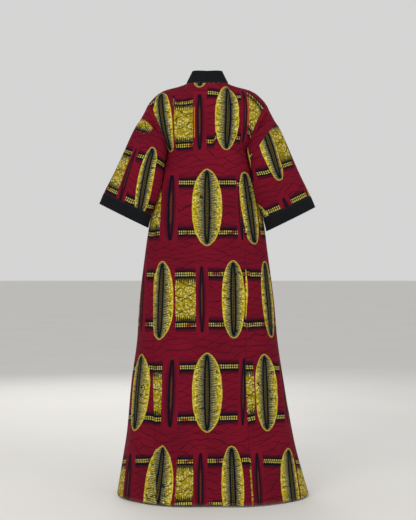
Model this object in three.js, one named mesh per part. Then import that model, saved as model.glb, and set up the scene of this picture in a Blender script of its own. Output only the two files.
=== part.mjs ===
// A floor-length kimono jacket of printed cotton, standing open at the front as it hangs on
// a figure, with nobody inside it: a back, a gore at each side, two fronts, two wide sleeves
// that reach the elbow, a plain cuff on each sleeve, and a neckband in two strips that are
// joined behind the neck and run down both front edges to the hem.
//
// Millimetres. +Z is up, the back faces +Y, the front faces -Y, and the wearer's left is +X.
// The origin is midway between the two points where the shoulder seams meet the neck.
// Each piece is a thin closed wall round the hollow, a little over 0.3 mm clear of the pieces
// it is sewn to.

import * as THREE from "three";

// ---- Driving sizes ---------------------------------------------------------------------

const CLOTH = 1.6; // wall of the printed cotton
const BAND_CLOTH = 2.6; // neckband and cuffs, folded double
const SEAM_GAP = 0.36; // left between two pieces at their seam
const SLEEVE_OFF_BODY = 0.2; // moves a sleeve's edges out from the body as well
const BAND_OFF_NECK = 0.4; // and the neckband up off the neckline
const BAND_WIDTH = 45; // neckband, from its seam to its free edge

const NECK_HALF = 74; // the neck point of the shoulder seam, out from the middle
const NECK_BACK = 60; // how far behind the middle the back neckline runs
const NECK_DIP = 6; // how far it drops at centre back
const TIP = { x: 205, z: -72 }; // outer end of the shoulder seam
const UNDERARM = { x: 142, z: -250 }; // foot of the armhole
const ARMHOLE_BACK = 72; // how far the armhole swings behind the shoulder seam
const ARMHOLE_FRONT = 66; // and in front of it
const ARMHOLE_SCOOP = 1.6; // above 1, the armhole curves in below the shoulder
const TOP_FADE = 2.2; // above 1, the neckline's shape is felt less far down the yoke
const ARMHOLE_FADE = 1.7; // and the armhole's shape less far in from it
const SHOULDER_CROWN = 11; // how far the shoulder seam bows above a straight line
const CROWN_SKEW = 1.4; // above 1, it bows most towards the tip
const CENTRE_BACK = { lower: { y: 108, z: -160 }, upper: { y: 103, z: -60 } }; // pulls its curve
const FRONT_NECK = { lower: { x: 98, y: -92, z: -165 }, upper: { x: 83, y: -78, z: -52 } };
const YOKE_FOOT = -262; // below this height the body is the rings of the next table
const HEM_Z = -1428;

// Rings of the body below the armholes. z is the height, half the half width, back and front
// the depths from the middle, and shift how far the ring stands towards the wearer's left.
// power is the ring's squareness: 2 is an ellipse, more is boxier.
const BODY_RINGS = [
  { z: -250, half: 142, back: 106, front: 116, power: 2.9, shift: 0 },
  { z: -300, half: 157, back: 105, front: 118, power: 2.75, shift: 0 },
  { z: -405, half: 183, back: 105, front: 118, power: 2.5, shift: 1 },
  { z: -500, half: 201, back: 110, front: 119, power: 2.35, shift: 2 },
  { z: -580, half: 212, back: 118, front: 122, power: 2.3, shift: 3 },
  { z: -756, half: 234, back: 136, front: 132, power: 2.25, shift: 2 },
  { z: -900, half: 245, back: 149, front: 142, power: 2.25, shift: 0 },
  { z: -1040, half: 264, back: 162, front: 154, power: 2.25, shift: -1 },
  { z: -1204, half: 284, back: 181, front: 170, power: 2.2, shift: -8 },
  { z: -1290, half: 299, back: 193, front: 181, power: 2.2, shift: -11 },
  { z: HEM_Z, half: 329, back: 216, front: 204, power: 2.2, shift: -19 },
];

// Soft flutes that open towards the hem. at is the direction from centre back, in degrees
// towards the wearer's left, width how far round each reaches, depth how far it stands out at
// the hem (a trough is negative), and top the height where it starts.
const FLUTES = [
  { at: -152, width: 16, depth: 9, top: -620 },
  { at: -121, width: 17, depth: -8, top: -560 },
  { at: -94, width: 14, depth: 6, top: -800 },
  { at: -58, width: 15, depth: -5, top: -900 },
  { at: -31, width: 16, depth: 5, top: -980 },
  { at: 4, width: 18, depth: -4, top: -1040 },
  { at: 36, width: 15, depth: 5, top: -940 },
  { at: 66, width: 14, depth: -6, top: -860 },
  { at: 98, width: 16, depth: 7, top: -760 },
  { at: 127, width: 15, depth: -8, top: -600 },
  { at: 155, width: 17, depth: 8, top: -660 },
];

// Where the gores are sewn in, as distances round the ring at height z: left and right from
// centre back, on each side of the wearer, and front from centre front.
const GORE_SEAMS = [
  { z: -250, left: 179, right: 179, front: 187 },
  { z: -420, left: 187, right: 152, front: 182 },
  { z: -620, left: 190, right: 136, front: 178 },
  { z: HEM_Z, left: 192, right: 130, front: 176 },
];

// Where the neckband is sewn to the fronts: edge is the distance from the middle at height z.
const FRONT_EDGE = [
  { z: -250, edge: 100 },
  { z: -420, edge: 104 },
  { z: -760, edge: 108 },
  { z: -1100, edge: 112 },
  { z: HEM_Z, edge: 118 },
];

// How the neckband leans off its seam: share runs along the seam from centre back (0) past the
// neck point (1) to the level of the armhole's foot (2); in, front and up give its direction.
const BAND_LEAN = [
  { share: 0, in: 0, front: 0.3, up: 0.95 },
  { share: 0.6, in: 0.3, front: 0.16, up: 0.94 },
  { share: 1, in: 0.52, front: 0.06, up: 0.85 },
  { share: 1.35, in: 0.82, front: 0.14, up: 0.55 },
  { share: 1.7, in: 0.91, front: 0.36, up: 0.14 },
  { share: 2, in: 0.9, front: 0.42, up: 0 },
];

// Sections of a sleeve from the armhole (share 0) to the cuff seam (1) and the cuff's end
// (CUFF_END): the outer and inner fold of the flattened tube, and half its depth.
const CUFF_END = 1.14;
const SLEEVE_SECTIONS = [
  { share: 0, outX: 205, outY: 0, outZ: -72, inX: 142, inY: 0, inZ: -250, depth: 70 },
  { share: 0.1, outX: 220, outY: 1, outZ: -102, inX: 143, inY: 9, inZ: -271, depth: 67 },
  { share: 0.25, outX: 245, outY: 2, outZ: -149, inX: 145, inY: 52, inZ: -302, depth: 61 },
  { share: 0.5, outX: 285, outY: 5, outZ: -235, inX: 153, inY: 60, inZ: -354, depth: 56 },
  { share: 0.75, outX: 323, outY: 8, outZ: -314, inX: 168, inY: 57, inZ: -407, depth: 52 },
  { share: 1, outX: 358, outY: 11, outZ: -380, inX: 192, inY: 48, inZ: -459, depth: 49 },
  { share: CUFF_END, outX: 375, outY: 13, outZ: -420, inX: 204, inY: 45, inZ: -505, depth: 48 },
];
const SLEEVE_CLEARANCE = 6; // kept between a sleeve and the body beside it,
const CLEARED_BELOW = -235; // below this height
const RIGHT_ARM_DROP = 12; // the right cuff hangs this much lower than the left

// Soft folds that run down a sleeve. around is the place on the section in degrees, from the
// outer fold (0) over the back (90) to the inner fold (180) and the front (270), depth in mm,
// and from and to the shares where each starts and ends. It rises and fades over FOLD_EASE.
const FOLD_EASE = { in: 0.15, out: 0.2 };
const SLEEVE_FOLDS = [
  { around: 52, width: 20, depth: -5, from: 0.08, to: 0.62 },
  { around: 118, width: 24, depth: 4, from: 0.2, to: 0.95 },
  { around: 236, width: 22, depth: 5, from: 0.15, to: 0.8 },
  { around: 305, width: 24, depth: -5, from: 0.1, to: 0.7 },
];

// Number of faces along and across the pieces.
const NECK_COLUMNS = 5; // half of the back neckline
const SHOULDER_COLUMNS = 7; // one shoulder seam, and so one front
const YOKE_ROWS = 11; // armhole's foot to shoulder
const SKIRT_ROWS = 22; // hem to armhole's foot
const SLEEVE_ROWS = 11;
const CUFF_ROWS = 2;
const BAND_COLUMNS = 2;
const GORE_COLUMNS = 12; // an even number

const CLOTH_LOOK = { color: 0x6b0f22, roughness: 0.82, metalness: 0 };
const BAND_LOOK = { color: 0x1f2022, roughness: 0.9, metalness: 0 };

// ---- Small helpers ---------------------------------------------------------------------

const vec = (x, y, z) => new THREE.Vector3(x, y, z);
const mix = (a, b, share) => a + (b - a) * share;
const clamp01 = (x) => Math.min(1, Math.max(0, x));
const smoothStep = (x) => clamp01(x) ** 2 * (3 - 2 * clamp01(x));
const steps = (n) => Array.from({ length: n + 1 }, (_, i) => i / n);

// One column of a table at a place along another, by a smooth curve through its rows.
function fromTable(rows, along, column, place) {
  const x = rows.map((row) => row[along]);
  const y = rows.map((row) => row[column]);
  const rising = x[1] > x[0];
  const last = rows.length - 1;
  let i = x.findIndex((v, k) => k > 0 && (rising ? place <= v : place >= v)) - 1;
  if (i < 0) i = place === x[0] ? 0 : last - 1;
  const slopeAt = (k) => {
    const a = Math.max(0, k - 1);
    const b = Math.min(last, k + 1);
    return (y[b] - y[a]) / (x[b] - x[a]);
  };
  const width = x[i + 1] - x[i];
  const t = clamp01((place - x[i]) / width);
  return (
    y[i] * (1 + 2 * t) * (1 - t) ** 2 +
    y[i + 1] * t * t * (3 - 2 * t) +
    width * (slopeAt(i) * t * (1 - t) ** 2 - slopeAt(i + 1) * t * t * (1 - t))
  );
}

// A bump of height 1 that fades to nothing over width on either side of the middle.
const bump = (offset, width) => Math.exp(-((offset / width) ** 2));

// ---- The body below the armholes -------------------------------------------------------

const RAD = Math.PI / 180;
const wrapped = (degrees) => ((((degrees + 180) % 360) + 360) % 360) - 180;

function fluteDepth(z, angle) {
  return FLUTES.reduce((sum, flute) => {
    const opened = smoothStep((flute.top - z) / (flute.top - HEM_Z));
    return sum + flute.depth * opened * bump(wrapped(angle / RAD - flute.at), flute.width);
  }, 0);
}

// Distance of the ring at height z from its middle, in the direction angle from centre back.
function ringRadius(z, angle) {
  const half = fromTable(BODY_RINGS, "z", "half", z);
  const depth = fromTable(BODY_RINGS, "z", Math.cos(angle) >= 0 ? "back" : "front", z);
  const power = fromTable(BODY_RINGS, "z", "power", z);
  const across = Math.abs(Math.sin(angle) / half) ** power;
  const along = Math.abs(Math.cos(angle) / depth) ** power;
  return (across + along) ** (-1 / power) + fluteDepth(z, angle);
}

function ringPoint(z, angle) {
  const r = ringRadius(z, angle);
  const shift = fromTable(BODY_RINGS, "z", "shift", z);
  return vec(shift + r * Math.sin(angle), r * Math.cos(angle), z);
}

// The arc of the ring between two angles: its length, and the angle at a distance along it.
const ARC_SAMPLES = 60;
function arcOf(z, from, to) {
  const angles = steps(ARC_SAMPLES).map((s) => mix(from, to, s));
  const points = angles.map((a) => ringPoint(z, a));
  const lengths = [0];
  for (let i = 1; i < points.length; i++)
    lengths.push(lengths[i - 1] + points[i].distanceTo(points[i - 1]));
  const angleAt = (distance) => {
    const i = Math.max(1, lengths.findIndex((l) => l >= distance - 1e-9));
    return mix(angles[i - 1], angles[i], (distance - lengths[i - 1]) / (lengths[i] - lengths[i - 1]));
  };
  return { length: lengths[ARC_SAMPLES], angleAt };
}

// The angles that divide the ring between two angles into pieces of equal length.
function equalAngles(z, from, to, count) {
  const arc = arcOf(z, from, to);
  return steps(count).map((share) => arc.angleAt(share * arc.length));
}

// Where the gore's seams cross the ring at height z, on the side of sign.
function goreAngles(z, sign) {
  const across = (sign * Math.PI) / 2;
  const backDistance = fromTable(GORE_SEAMS, "z", sign > 0 ? "left" : "right", z);
  return {
    back: arcOf(z, 0, across).angleAt(backDistance),
    front: arcOf(z, sign * Math.PI, across).angleAt(fromTable(GORE_SEAMS, "z", "front", z)),
  };
}

// The angle on the front of the ring that lies x out from the middle, on the side of sign.
function frontAngleAt(z, sign, x) {
  let [low, high] = [Math.PI / 2, Math.PI];
  for (let halvings = 0; halvings < 40; halvings++) {
    const middle = (low + high) / 2;
    if (Math.abs(ringRadius(z, sign * middle) * Math.sin(middle)) > x) low = middle;
    else high = middle;
  }
  return (sign * (low + high)) / 2;
}

const edgeAngle = (z, sign) => frontAngleAt(z, sign, fromTable(FRONT_EDGE, "z", "edge", z));
const skirtHeights = steps(SKIRT_ROWS).map((s) => mix(HEM_Z, YOKE_FOOT, s));

// ---- The yoke: neckline, shoulder seams and armholes ------------------------------------

const sideways = (p, sign) => vec(sign * p.x, p.y, p.z);

function shoulderSeam(share) {
  const rise = SHOULDER_CROWN * Math.sin(Math.PI * share ** CROWN_SKEW);
  return vec(mix(NECK_HALF, TIP.x, share), 0, mix(0, TIP.z, share) + rise);
}

function backNeckline(share) {
  const angle = (share * Math.PI) / 2;
  return vec(NECK_HALF * Math.sin(angle), NECK_BACK * Math.cos(angle), -NECK_DIP * Math.cos(angle) ** 2);
}

// Up one side of the armhole, from its foot (0) to the shoulder tip (1).
function armhole(share, swing) {
  const turn = Math.PI * (1 - share);
  const outward = ((1 + Math.cos(turn)) / 2) ** ARMHOLE_SCOOP;
  return vec(
    mix(UNDERARM.x, TIP.x, outward),
    swing * Math.sin(turn),
    mix(UNDERARM.z, TIP.z, (1 + Math.cos(turn)) / 2),
  );
}

const ringFoot = (angle) => ringPoint(YOKE_FOOT, angle);
const goreFoot = goreAngles(YOKE_FOOT, 1);

// A curve from one point up to another, pulled towards two named places on its way.
function pulledCurve(foot, { lower, upper }, top) {
  const pulls = [lower, upper].map(({ x = 0, y, z }) => vec(x, y, z));
  return new THREE.CubicBezierCurve3(foot, ...pulls, top);
}
const centreBack = pulledCurve(ringFoot(0), CENTRE_BACK, backNeckline(0));
const frontEdgeFoot = ringFoot(edgeAngle(YOKE_FOOT, 1));
const frontEdgeCurve = pulledCurve(frontEdgeFoot, FRONT_NECK, shoulderSeam(0));

// A surface spanned by four curves that meet at their ends (a Coons patch). The shapes of the
// top curve and of the armhole on the right fade out quickly away from them.
function patch(bottom, top, left, right, u, v) {
  const sum = vec(0, 0, 0);
  const add = (p, weight) => sum.addScaledVector(p, weight);
  const upper = v ** TOP_FADE;
  const outer = u ** ARMHOLE_FADE;
  add(bottom(u), 1 - upper);
  add(top(u), upper);
  add(left(v), 1 - outer);
  add(right(v), outer);
  add(bottom(0), -(1 - outer) * (1 - upper));
  add(bottom(1), -outer * (1 - upper));
  add(top(0), -(1 - outer) * upper);
  add(top(1), -outer * upper);
  return sum;
}

// The armhole edge of the back or a front: it starts on the ring where the gore's seam comes
// up, and follows the armhole from the gore's corner, one row higher.
const armholeEdge = (swing, foot) => (s) => (s === 0 ? ringFoot(foot) : armhole(s, swing));

function backYoke(u, v) {
  const halfColumns = NECK_COLUMNS + SHOULDER_COLUMNS;
  const neckShare = NECK_COLUMNS / halfColumns;
  const foot = equalAngles(YOKE_FOOT, 0, goreFoot.back, halfColumns);
  const bottom = (s) => ringFoot(foot[Math.round(s * halfColumns)]);
  const top = (s) =>
    s <= neckShare
      ? backNeckline(s / neckShare)
      : shoulderSeam((s - neckShare) / (1 - neckShare));
  const middle = (s) => centreBack.getPoint(s);
  return patch(bottom, top, middle, armholeEdge(ARMHOLE_BACK, goreFoot.back), u, v);
}

function frontYoke(u, v) {
  const foot = equalAngles(YOKE_FOOT, edgeAngle(YOKE_FOOT, 1), goreFoot.front, SHOULDER_COLUMNS);
  const bottom = (s) => ringFoot(foot[Math.round(s * SHOULDER_COLUMNS)]);
  const left = (s) => frontEdgeCurve.getPoint(s);
  return patch(bottom, shoulderSeam, left, armholeEdge(-ARMHOLE_FRONT, goreFoot.front), u, v);
}

// ---- Grids of points on the outer faces, hem first ---------------------------------------

const yokeShares = steps(YOKE_ROWS).slice(1);

function backGrid() {
  const halfColumns = NECK_COLUMNS + SHOULDER_COLUMNS;
  const skirt = skirtHeights.map((z) => {
    const right = equalAngles(z, 0, goreAngles(z, -1).back, halfColumns).reverse();
    const left = equalAngles(z, 0, goreAngles(z, 1).back, halfColumns).slice(1);
    return [...right, ...left].map((angle) => ringPoint(z, angle));
  });
  const yoke = yokeShares.map((v) => {
    const half = steps(halfColumns).map((u) => backYoke(u, v));
    const right = half.slice(1).reverse().map((p) => sideways(p, -1));
    return [...right, ...half];
  });
  return [...skirt, ...yoke];
}

// From the front edge to the gore and the armhole.
function frontGrid(sign) {
  const skirt = skirtHeights.map((z) =>
    equalAngles(z, edgeAngle(z, sign), goreAngles(z, sign).front, SHOULDER_COLUMNS).map(
      (angle) => ringPoint(z, angle),
    ),
  );
  const yoke = yokeShares.map((v) =>
    steps(SHOULDER_COLUMNS).map((u) => sideways(frontYoke(u, v), sign)),
  );
  return [...skirt, ...yoke];
}

// From the back to the front; its top edge is the foot of the armhole.
function goreGrid(sign) {
  const skirt = skirtHeights.map((z) => {
    const seams = goreAngles(z, sign);
    return equalAngles(z, seams.back, seams.front, GORE_COLUMNS).map((a) => ringPoint(z, a));
  });
  const corners = [armhole(1 / YOKE_ROWS, ARMHOLE_BACK), armhole(1 / YOKE_ROWS, -ARMHOLE_FRONT)];
  const top = steps(GORE_COLUMNS).map((s) => {
    const corner = corners[s < 0.5 ? 0 : 1];
    return sideways(corner.clone().lerp(armhole(0, 0), 1 - Math.abs(2 * s - 1)), sign);
  });
  return [...skirt, top];
}

// ---- Sleeves -----------------------------------------------------------------------------

const onSleeve = (column, share) => fromTable(SLEEVE_SECTIONS, "share", column, share);
const outerFold = (share) => vec(onSleeve("outX", share), onSleeve("outY", share), onSleeve("outZ", share));
const innerFold = (share) => vec(onSleeve("inX", share), onSleeve("inY", share), onSleeve("inZ", share));

function sleeveFoldDepth(share, turn) {
  const degrees = (turn / RAD + 360) % 360;
  return SLEEVE_FOLDS.reduce((sum, fold) => {
    const rise = smoothStep((share - fold.from) / FOLD_EASE.in);
    const fade = smoothStep((fold.to - share) / FOLD_EASE.out);
    return sum + fold.depth * rise * fade * bump(wrapped(degrees - fold.around), fold.width);
  }, 0);
}

const SHORT_WAY = 0.02; // shares between which the sleeve's direction is taken

// A point on the left sleeve: turn goes from the outer fold (0) over the back to the inner fold.
function sleeveSection(share, turn) {
  const middle = outerFold(share).lerp(innerFold(share), 0.5);
  const half = outerFold(share).sub(innerFold(share)).multiplyScalar(0.5);
  const ahead = outerFold(share + SHORT_WAY).lerp(innerFold(share + SHORT_WAY), 0.5);
  const behind = outerFold(share - SHORT_WAY).lerp(innerFold(share - SHORT_WAY), 0.5);
  const backward = half.clone().cross(ahead.sub(behind)).normalize();
  if (backward.y < 0) backward.negate();
  const depth = onSleeve("depth", share) + sleeveFoldDepth(share, turn);
  return middle.addScaledVector(half, Math.cos(turn)).addScaledVector(backward, depth * Math.sin(turn));
}

// Keeps a sleeve point clear of the body beside it.
function clearOfBody(p) {
  if (p.z > CLEARED_BELOW) return p;
  const shift = fromTable(BODY_RINGS, "z", "shift", p.z);
  const angle = Math.atan2(p.x - shift, p.y);
  const outside = ringRadius(p.z, angle) + SLEEVE_CLEARANCE;
  const r = Math.hypot(p.x - shift, p.y);
  return r >= outside ? p : vec(shift + outside * Math.sin(angle), outside * Math.cos(angle), p.z);
}

// The armhole as a closed ring: up the back edge to the tip, then down the front edge.
const armholeTurns = [
  ...steps(YOKE_ROWS).map((v) => Math.PI * (1 - v)),
  ...steps(YOKE_ROWS).slice(1, -1).map((v) => -Math.PI * v),
];
const armholeRing = [
  ...steps(YOKE_ROWS).map((v) => armhole(v, ARMHOLE_BACK)),
  ...steps(YOKE_ROWS).slice(1, -1).map((v) => armhole(1 - v, -ARMHOLE_FRONT)),
];

// Rings of a sleeve between two shares of its length, for the side of sign.
function sleeveGrid(sign, from, to, rows) {
  const drop = sign < 0 ? RIGHT_ARM_DROP : 0;
  return steps(rows).map((s) => {
    const share = mix(from, to, s);
    const fade = (1 - clamp01(share)) ** 2;
    return armholeTurns.map((turn, k) => {
      const section = sleeveSection(share, turn);
      const atArmhole = armholeRing[k].clone().sub(sleeveSection(0, turn));
      const p = section.addScaledVector(atArmhole, fade);
      p.z -= drop * smoothStep(share);
      return share > 0 ? clearOfBody(sideways(p, sign)) : sideways(p, sign);
    });
  });
}

// ---- Neckband ----------------------------------------------------------------------------

// Seam points of one half from centre back to the hem, each with its place in BAND_LEAN.
function bandSeam() {
  const neck = steps(NECK_COLUMNS).map((s) => ({ point: backNeckline(s), share: s }));
  const chest = yokeShares.map((s) => ({ point: frontEdgeCurve.getPoint(1 - s), share: 1 + s }));
  return [...neck, ...chest];
}

function bandGrid(sign) {
  const across = steps(BAND_COLUMNS);
  const upper = bandSeam().map(({ point, share }) => {
    const lean = (column) => fromTable(BAND_LEAN, "share", column, share);
    const direction = vec(-lean("in"), -lean("front"), lean("up")).normalize();
    return across.map((w) =>
      sideways(point.clone().addScaledVector(direction, w * BAND_WIDTH), sign),
    );
  });
  const lower = [...skirtHeights].reverse().slice(1).map((z) => {
    const seam = edgeAngle(z, sign);
    const freeX = fromTable(FRONT_EDGE, "z", "edge", z) - BAND_WIDTH;
    const free = frontAngleAt(z, sign, freeX);
    return across.map((w) => ringPoint(z, mix(seam, free, w)));
  });
  return [...upper, ...lower];
}

// ---- Walls from grids ----------------------------------------------------------------------

// Unit normals of a grid, all on the side that outward points to. A closed grid wraps round.
function gridNormals(grid, closed, outward) {
  const rows = grid.length;
  const columns = grid[0].length;
  const around = (j) => (closed ? (j + columns) % columns : Math.min(columns - 1, Math.max(0, j)));
  const normals = grid.map((row, i) =>
    row.map((_, j) => {
      const along = grid[Math.min(rows - 1, i + 1)][j].clone().sub(grid[Math.max(0, i - 1)][j]);
      const across = grid[i][around(j + 1)].clone().sub(grid[i][around(j - 1)]);
      return across.cross(along).normalize();
    }),
  );
  const facing = normals.flat().reduce((sum, n, k) => sum + n.dot(outward(grid.flat()[k])), 0);
  if (facing < 0) normals.flat().forEach((n) => n.negate());
  return normals;
}

// Moves the edge points of a grid back from its seams by half the seam gap.
function trimmed(grid, closed, seams) {
  const rows = grid.length;
  const columns = grid[0].length;
  const moved = grid.map((row) => row.map((p) => p.clone()));
  const pull = (i, j, ni, nj) => {
    const step = grid[ni][nj].clone().sub(grid[i][j]).normalize();
    moved[i][j].addScaledVector(step, SEAM_GAP / 2).add(seams.off ?? vec(0, 0, 0));
  };
  for (let j = 0; j < columns; j++) {
    if (seams.first) pull(0, j, 1, j);
    if (seams.last) pull(rows - 1, j, rows - 2, j);
  }
  for (let i = 0; i < rows && !closed; i++) {
    if (seams.start) pull(i, 0, i, 1);
    if (seams.end) pull(i, columns - 1, i, columns - 2);
  }
  return moved;
}

// A closed solid between a grid and the same grid moved inwards by the cloth's thickness.
function wallGeometry(grid, normals, closed, thickness) {
  const rows = grid.length;
  const columns = grid[0].length;
  const inner = grid.map((row, i) => row.map((p, j) => p.clone().addScaledVector(normals[i][j], -thickness)));
  const points = [...grid.flat(), ...inner.flat()];
  const at = (layer, i, j) => layer * rows * columns + i * columns + (j % columns);
  const faces = [];
  const quad = (a, b, c, d) => faces.push(a, b, c, a, c, d);
  const spans = closed ? columns : columns - 1;
  for (let i = 0; i < rows - 1; i++)
    for (let j = 0; j < spans; j++) {
      quad(at(0, i, j), at(0, i, j + 1), at(0, i + 1, j + 1), at(0, i + 1, j));
      quad(at(1, i, j), at(1, i + 1, j), at(1, i + 1, j + 1), at(1, i, j + 1));
    }
  for (let j = 0; j < spans; j++) {
    quad(at(0, 0, j), at(1, 0, j), at(1, 0, j + 1), at(0, 0, j + 1));
    quad(at(0, rows - 1, j), at(0, rows - 1, j + 1), at(1, rows - 1, j + 1), at(1, rows - 1, j));
  }
  for (let i = 0; i < rows - 1 && !closed; i++) {
    quad(at(0, i, 0), at(0, i + 1, 0), at(1, i + 1, 0), at(1, i, 0));
    quad(at(0, i, spans), at(1, i, spans), at(1, i + 1, spans), at(0, i + 1, spans));
  }
  let volume = 0;
  for (let k = 0; k < faces.length; k += 3)
    volume += points[faces[k]].clone().cross(points[faces[k + 1]]).dot(points[faces[k + 2]]);
  if (volume < 0) faces.reverse();
  const geometry = new THREE.BufferGeometry().setFromPoints(points);
  geometry.setIndex(faces);
  geometry.computeVertexNormals();
  return geometry;
}

// The points along the open edges of a piece, each with the way it runs into the cloth.
function edgeStitches({ grid, normals, closed }) {
  const rows = grid.length - 1;
  const columns = grid[0].length - 1;
  const stitch = (i, j, ni, nj) => ({
    point: grid[i][j],
    normal: normals[i][j],
    inward: grid[ni][nj].clone().sub(grid[i][j]),
  });
  const rims = grid[0].flatMap((_, j) => [stitch(0, j, 1, j), stitch(rows, j, rows - 1, j)]);
  if (closed) return rims;
  const sides = grid.flatMap((_, i) => [stitch(i, 0, i, 1), stitch(i, columns, i, columns - 1)]);
  return [...rims, ...sides];
}

const LEAST_LEAN = 0.7; // stops a mitre from growing longer than 1 / 0.7 of the wall

// Where walls that meet at a seam fold towards the inside, they all get one mitred normal. A
// wall that doubles back on the others there, as a sleeve does under the arm, is left out.
function mitre(stitches) {
  const before = stitches.map(({ normal, inward }) => ({ normal: normal.clone(), inward }));
  stitches.forEach(({ normal }, k) => {
    const others = before.filter((b) => b.normal.dot(before[k].normal) > 0);
    if (!others.some((a) => others.some((b) => b.inward.dot(a.normal) < 0))) return;
    const shared = others.reduce((sum, b) => sum.add(b.normal), vec(0, 0, 0)).normalize();
    const lean = others.reduce((sum, b) => sum + b.normal.dot(shared), 0) / others.length;
    normal.copy(shared).divideScalar(Math.max(LEAST_LEAN, lean));
  });
}

function joinWalls(pieces) {
  const seams = new Map();
  pieces.flatMap(edgeStitches).forEach((stitch) => {
    const place = stitch.point.toArray().map((x) => Math.round(x * 20)).join();
    seams.set(place, [...(seams.get(place) ?? []), stitch]);
  });
  seams.forEach((stitches) => mitre(stitches));
}

// ---- The pieces ------------------------------------------------------------------------------

const fromAxis = (p) => vec(p.x, p.y, Math.max(0, p.z + 250));

function panel(name, grid, seams) {
  const normals = gridNormals(grid, false, fromAxis);
  return { name, grid, normals, closed: false, seams, cloth: CLOTH, look: CLOTH_LOOK };
}

function tube(name, grid, seams) {
  const middles = grid.map((ring) =>
    ring.reduce((sum, p) => sum.add(p), vec(0, 0, 0)).divideScalar(ring.length),
  );
  const outward = (p) => {
    const nearer = (best, m) => (m.distanceTo(p) < best.distanceTo(p) ? m : best);
    return p.clone().sub(middles.reduce(nearer));
  };
  const normals = gridNormals(grid, true, outward);
  return { name, grid, normals, closed: true, seams, cloth: CLOTH, look: CLOTH_LOOK };
}

const doubled = (piece) => ({ ...piece, cloth: BAND_CLOTH, look: BAND_LOOK });

function sidePieces(word, sign) {
  const upToCuff = sleeveGrid(sign, 0, 1, SLEEVE_ROWS);
  const pastCuff = sleeveGrid(sign, 1, CUFF_END, CUFF_ROWS);
  const sleeveSeams = { first: true, last: true, off: vec(sign * SLEEVE_OFF_BODY, 0, 0) };
  const bandSeams = { first: true, start: true, off: vec(0, 0, BAND_OFF_NECK) };
  return [
    panel(`front_${word}`, frontGrid(sign), { last: true, start: true, end: true }),
    panel(`gore_${word}`, goreGrid(sign), { last: true, start: true, end: true }),
    tube(`sleeve_${word}`, upToCuff, sleeveSeams),
    doubled(tube(`cuff_${word}`, pastCuff, { first: true })),
    doubled(panel(`neckband_${word}`, bandGrid(sign), bandSeams)),
  ];
}

const pieces = [
  panel("back", backGrid(), { last: true, start: true, end: true }),
  ...sidePieces("left", 1),
  ...sidePieces("right", -1),
];
joinWalls(pieces);

// Each long piece is one cut of cloth, but stands as separate lengths, a seam gap apart, so
// that the collision pieces of each length can follow its curve closely. Here are the word for
// each length and the last row of its grid.
const PANEL_LENGTHS = { skirt: 13, waist: SKIRT_ROWS, yoke: Infinity };
const LENGTHS = {
  back: PANEL_LENGTHS,
  front: PANEL_LENGTHS,
  gore: { skirt: 13, waist: Infinity },
  sleeve: { upper: 5, lower: Infinity },
  neckband: { collar: NECK_COLUMNS + YOKE_ROWS, waist: NECK_COLUMNS + YOKE_ROWS + 9, skirt: Infinity },
};

function inLengths(piece) {
  const lengths = LENGTHS[piece.name.split("_")[0]];
  if (!lengths) return [piece];
  const lastRow = piece.grid.length - 1;
  let from = 0;
  return Object.entries(lengths).map(([word, row]) => {
    const to = Math.min(row, lastRow);
    const [grid, normals] = [piece.grid, piece.normals].map((rows) => rows.slice(from, to + 1));
    const first = from > 0 || piece.seams.first;
    const last = to < lastRow || piece.seams.last;
    from = to;
    return { ...piece, name: `${piece.name}_${word}`, grid, normals, seams: { ...piece.seams, first, last } };
  });
}

const jacket = new THREE.Group();
for (const { name, grid, normals, closed, seams, cloth, look } of pieces.flatMap(inLengths)) {
  const geometry = wallGeometry(trimmed(grid, closed, seams), normals, closed, cloth);
  const mesh = new THREE.Mesh(geometry, new THREE.MeshStandardMaterial(look));
  mesh.name = name;
  jacket.add(mesh);
}

export default jacket;
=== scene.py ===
# %% [markdown]
# # A floor-length kimono jacket in printed cotton
#
# This lesson sews a kimono jacket in Blender: a back, a gore at each side, two fronts, two
# wide sleeves with plain black cuffs, and a black neckband that runs from centre back down
# both fronts to the hem. It stands in its worn shape with nobody inside it.
#
# The packed model gives the frame: rigid walls of the right size and place. Each cloth piece
# below is drawn again from the same measurements on a much finer grid, so that it can carry
# soft folds, sewn seams and a hem, and it takes the place of its wall.

# %% Load the frame
import math

import bpy
import numpy as np
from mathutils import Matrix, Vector


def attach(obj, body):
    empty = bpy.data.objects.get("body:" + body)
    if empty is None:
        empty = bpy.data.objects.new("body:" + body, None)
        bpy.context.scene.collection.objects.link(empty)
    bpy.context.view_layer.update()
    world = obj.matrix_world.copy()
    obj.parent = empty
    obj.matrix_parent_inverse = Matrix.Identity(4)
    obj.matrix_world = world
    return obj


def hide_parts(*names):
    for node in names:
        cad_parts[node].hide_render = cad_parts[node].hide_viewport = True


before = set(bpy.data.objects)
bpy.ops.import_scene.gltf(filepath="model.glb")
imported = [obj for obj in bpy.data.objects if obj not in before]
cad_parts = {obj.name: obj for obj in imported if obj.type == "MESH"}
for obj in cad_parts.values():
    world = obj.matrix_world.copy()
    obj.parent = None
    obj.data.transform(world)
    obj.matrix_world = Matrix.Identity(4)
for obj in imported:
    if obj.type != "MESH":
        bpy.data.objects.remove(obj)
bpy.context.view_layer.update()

# %% [markdown]
# ## The measurements
#
# A pattern cutter keeps measurements in tables, and reads between the rows by eye. Here the
# tables are in millimetres, and a smooth curve through the rows does the reading. +Z is up,
# the back faces +Y and the wearer's left is +X.

# %% Reading a table
def rows_of(columns, *rows):
    """A table whose columns are read by name."""
    return dict(zip(columns.split(), np.array(rows, float).T))


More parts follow.
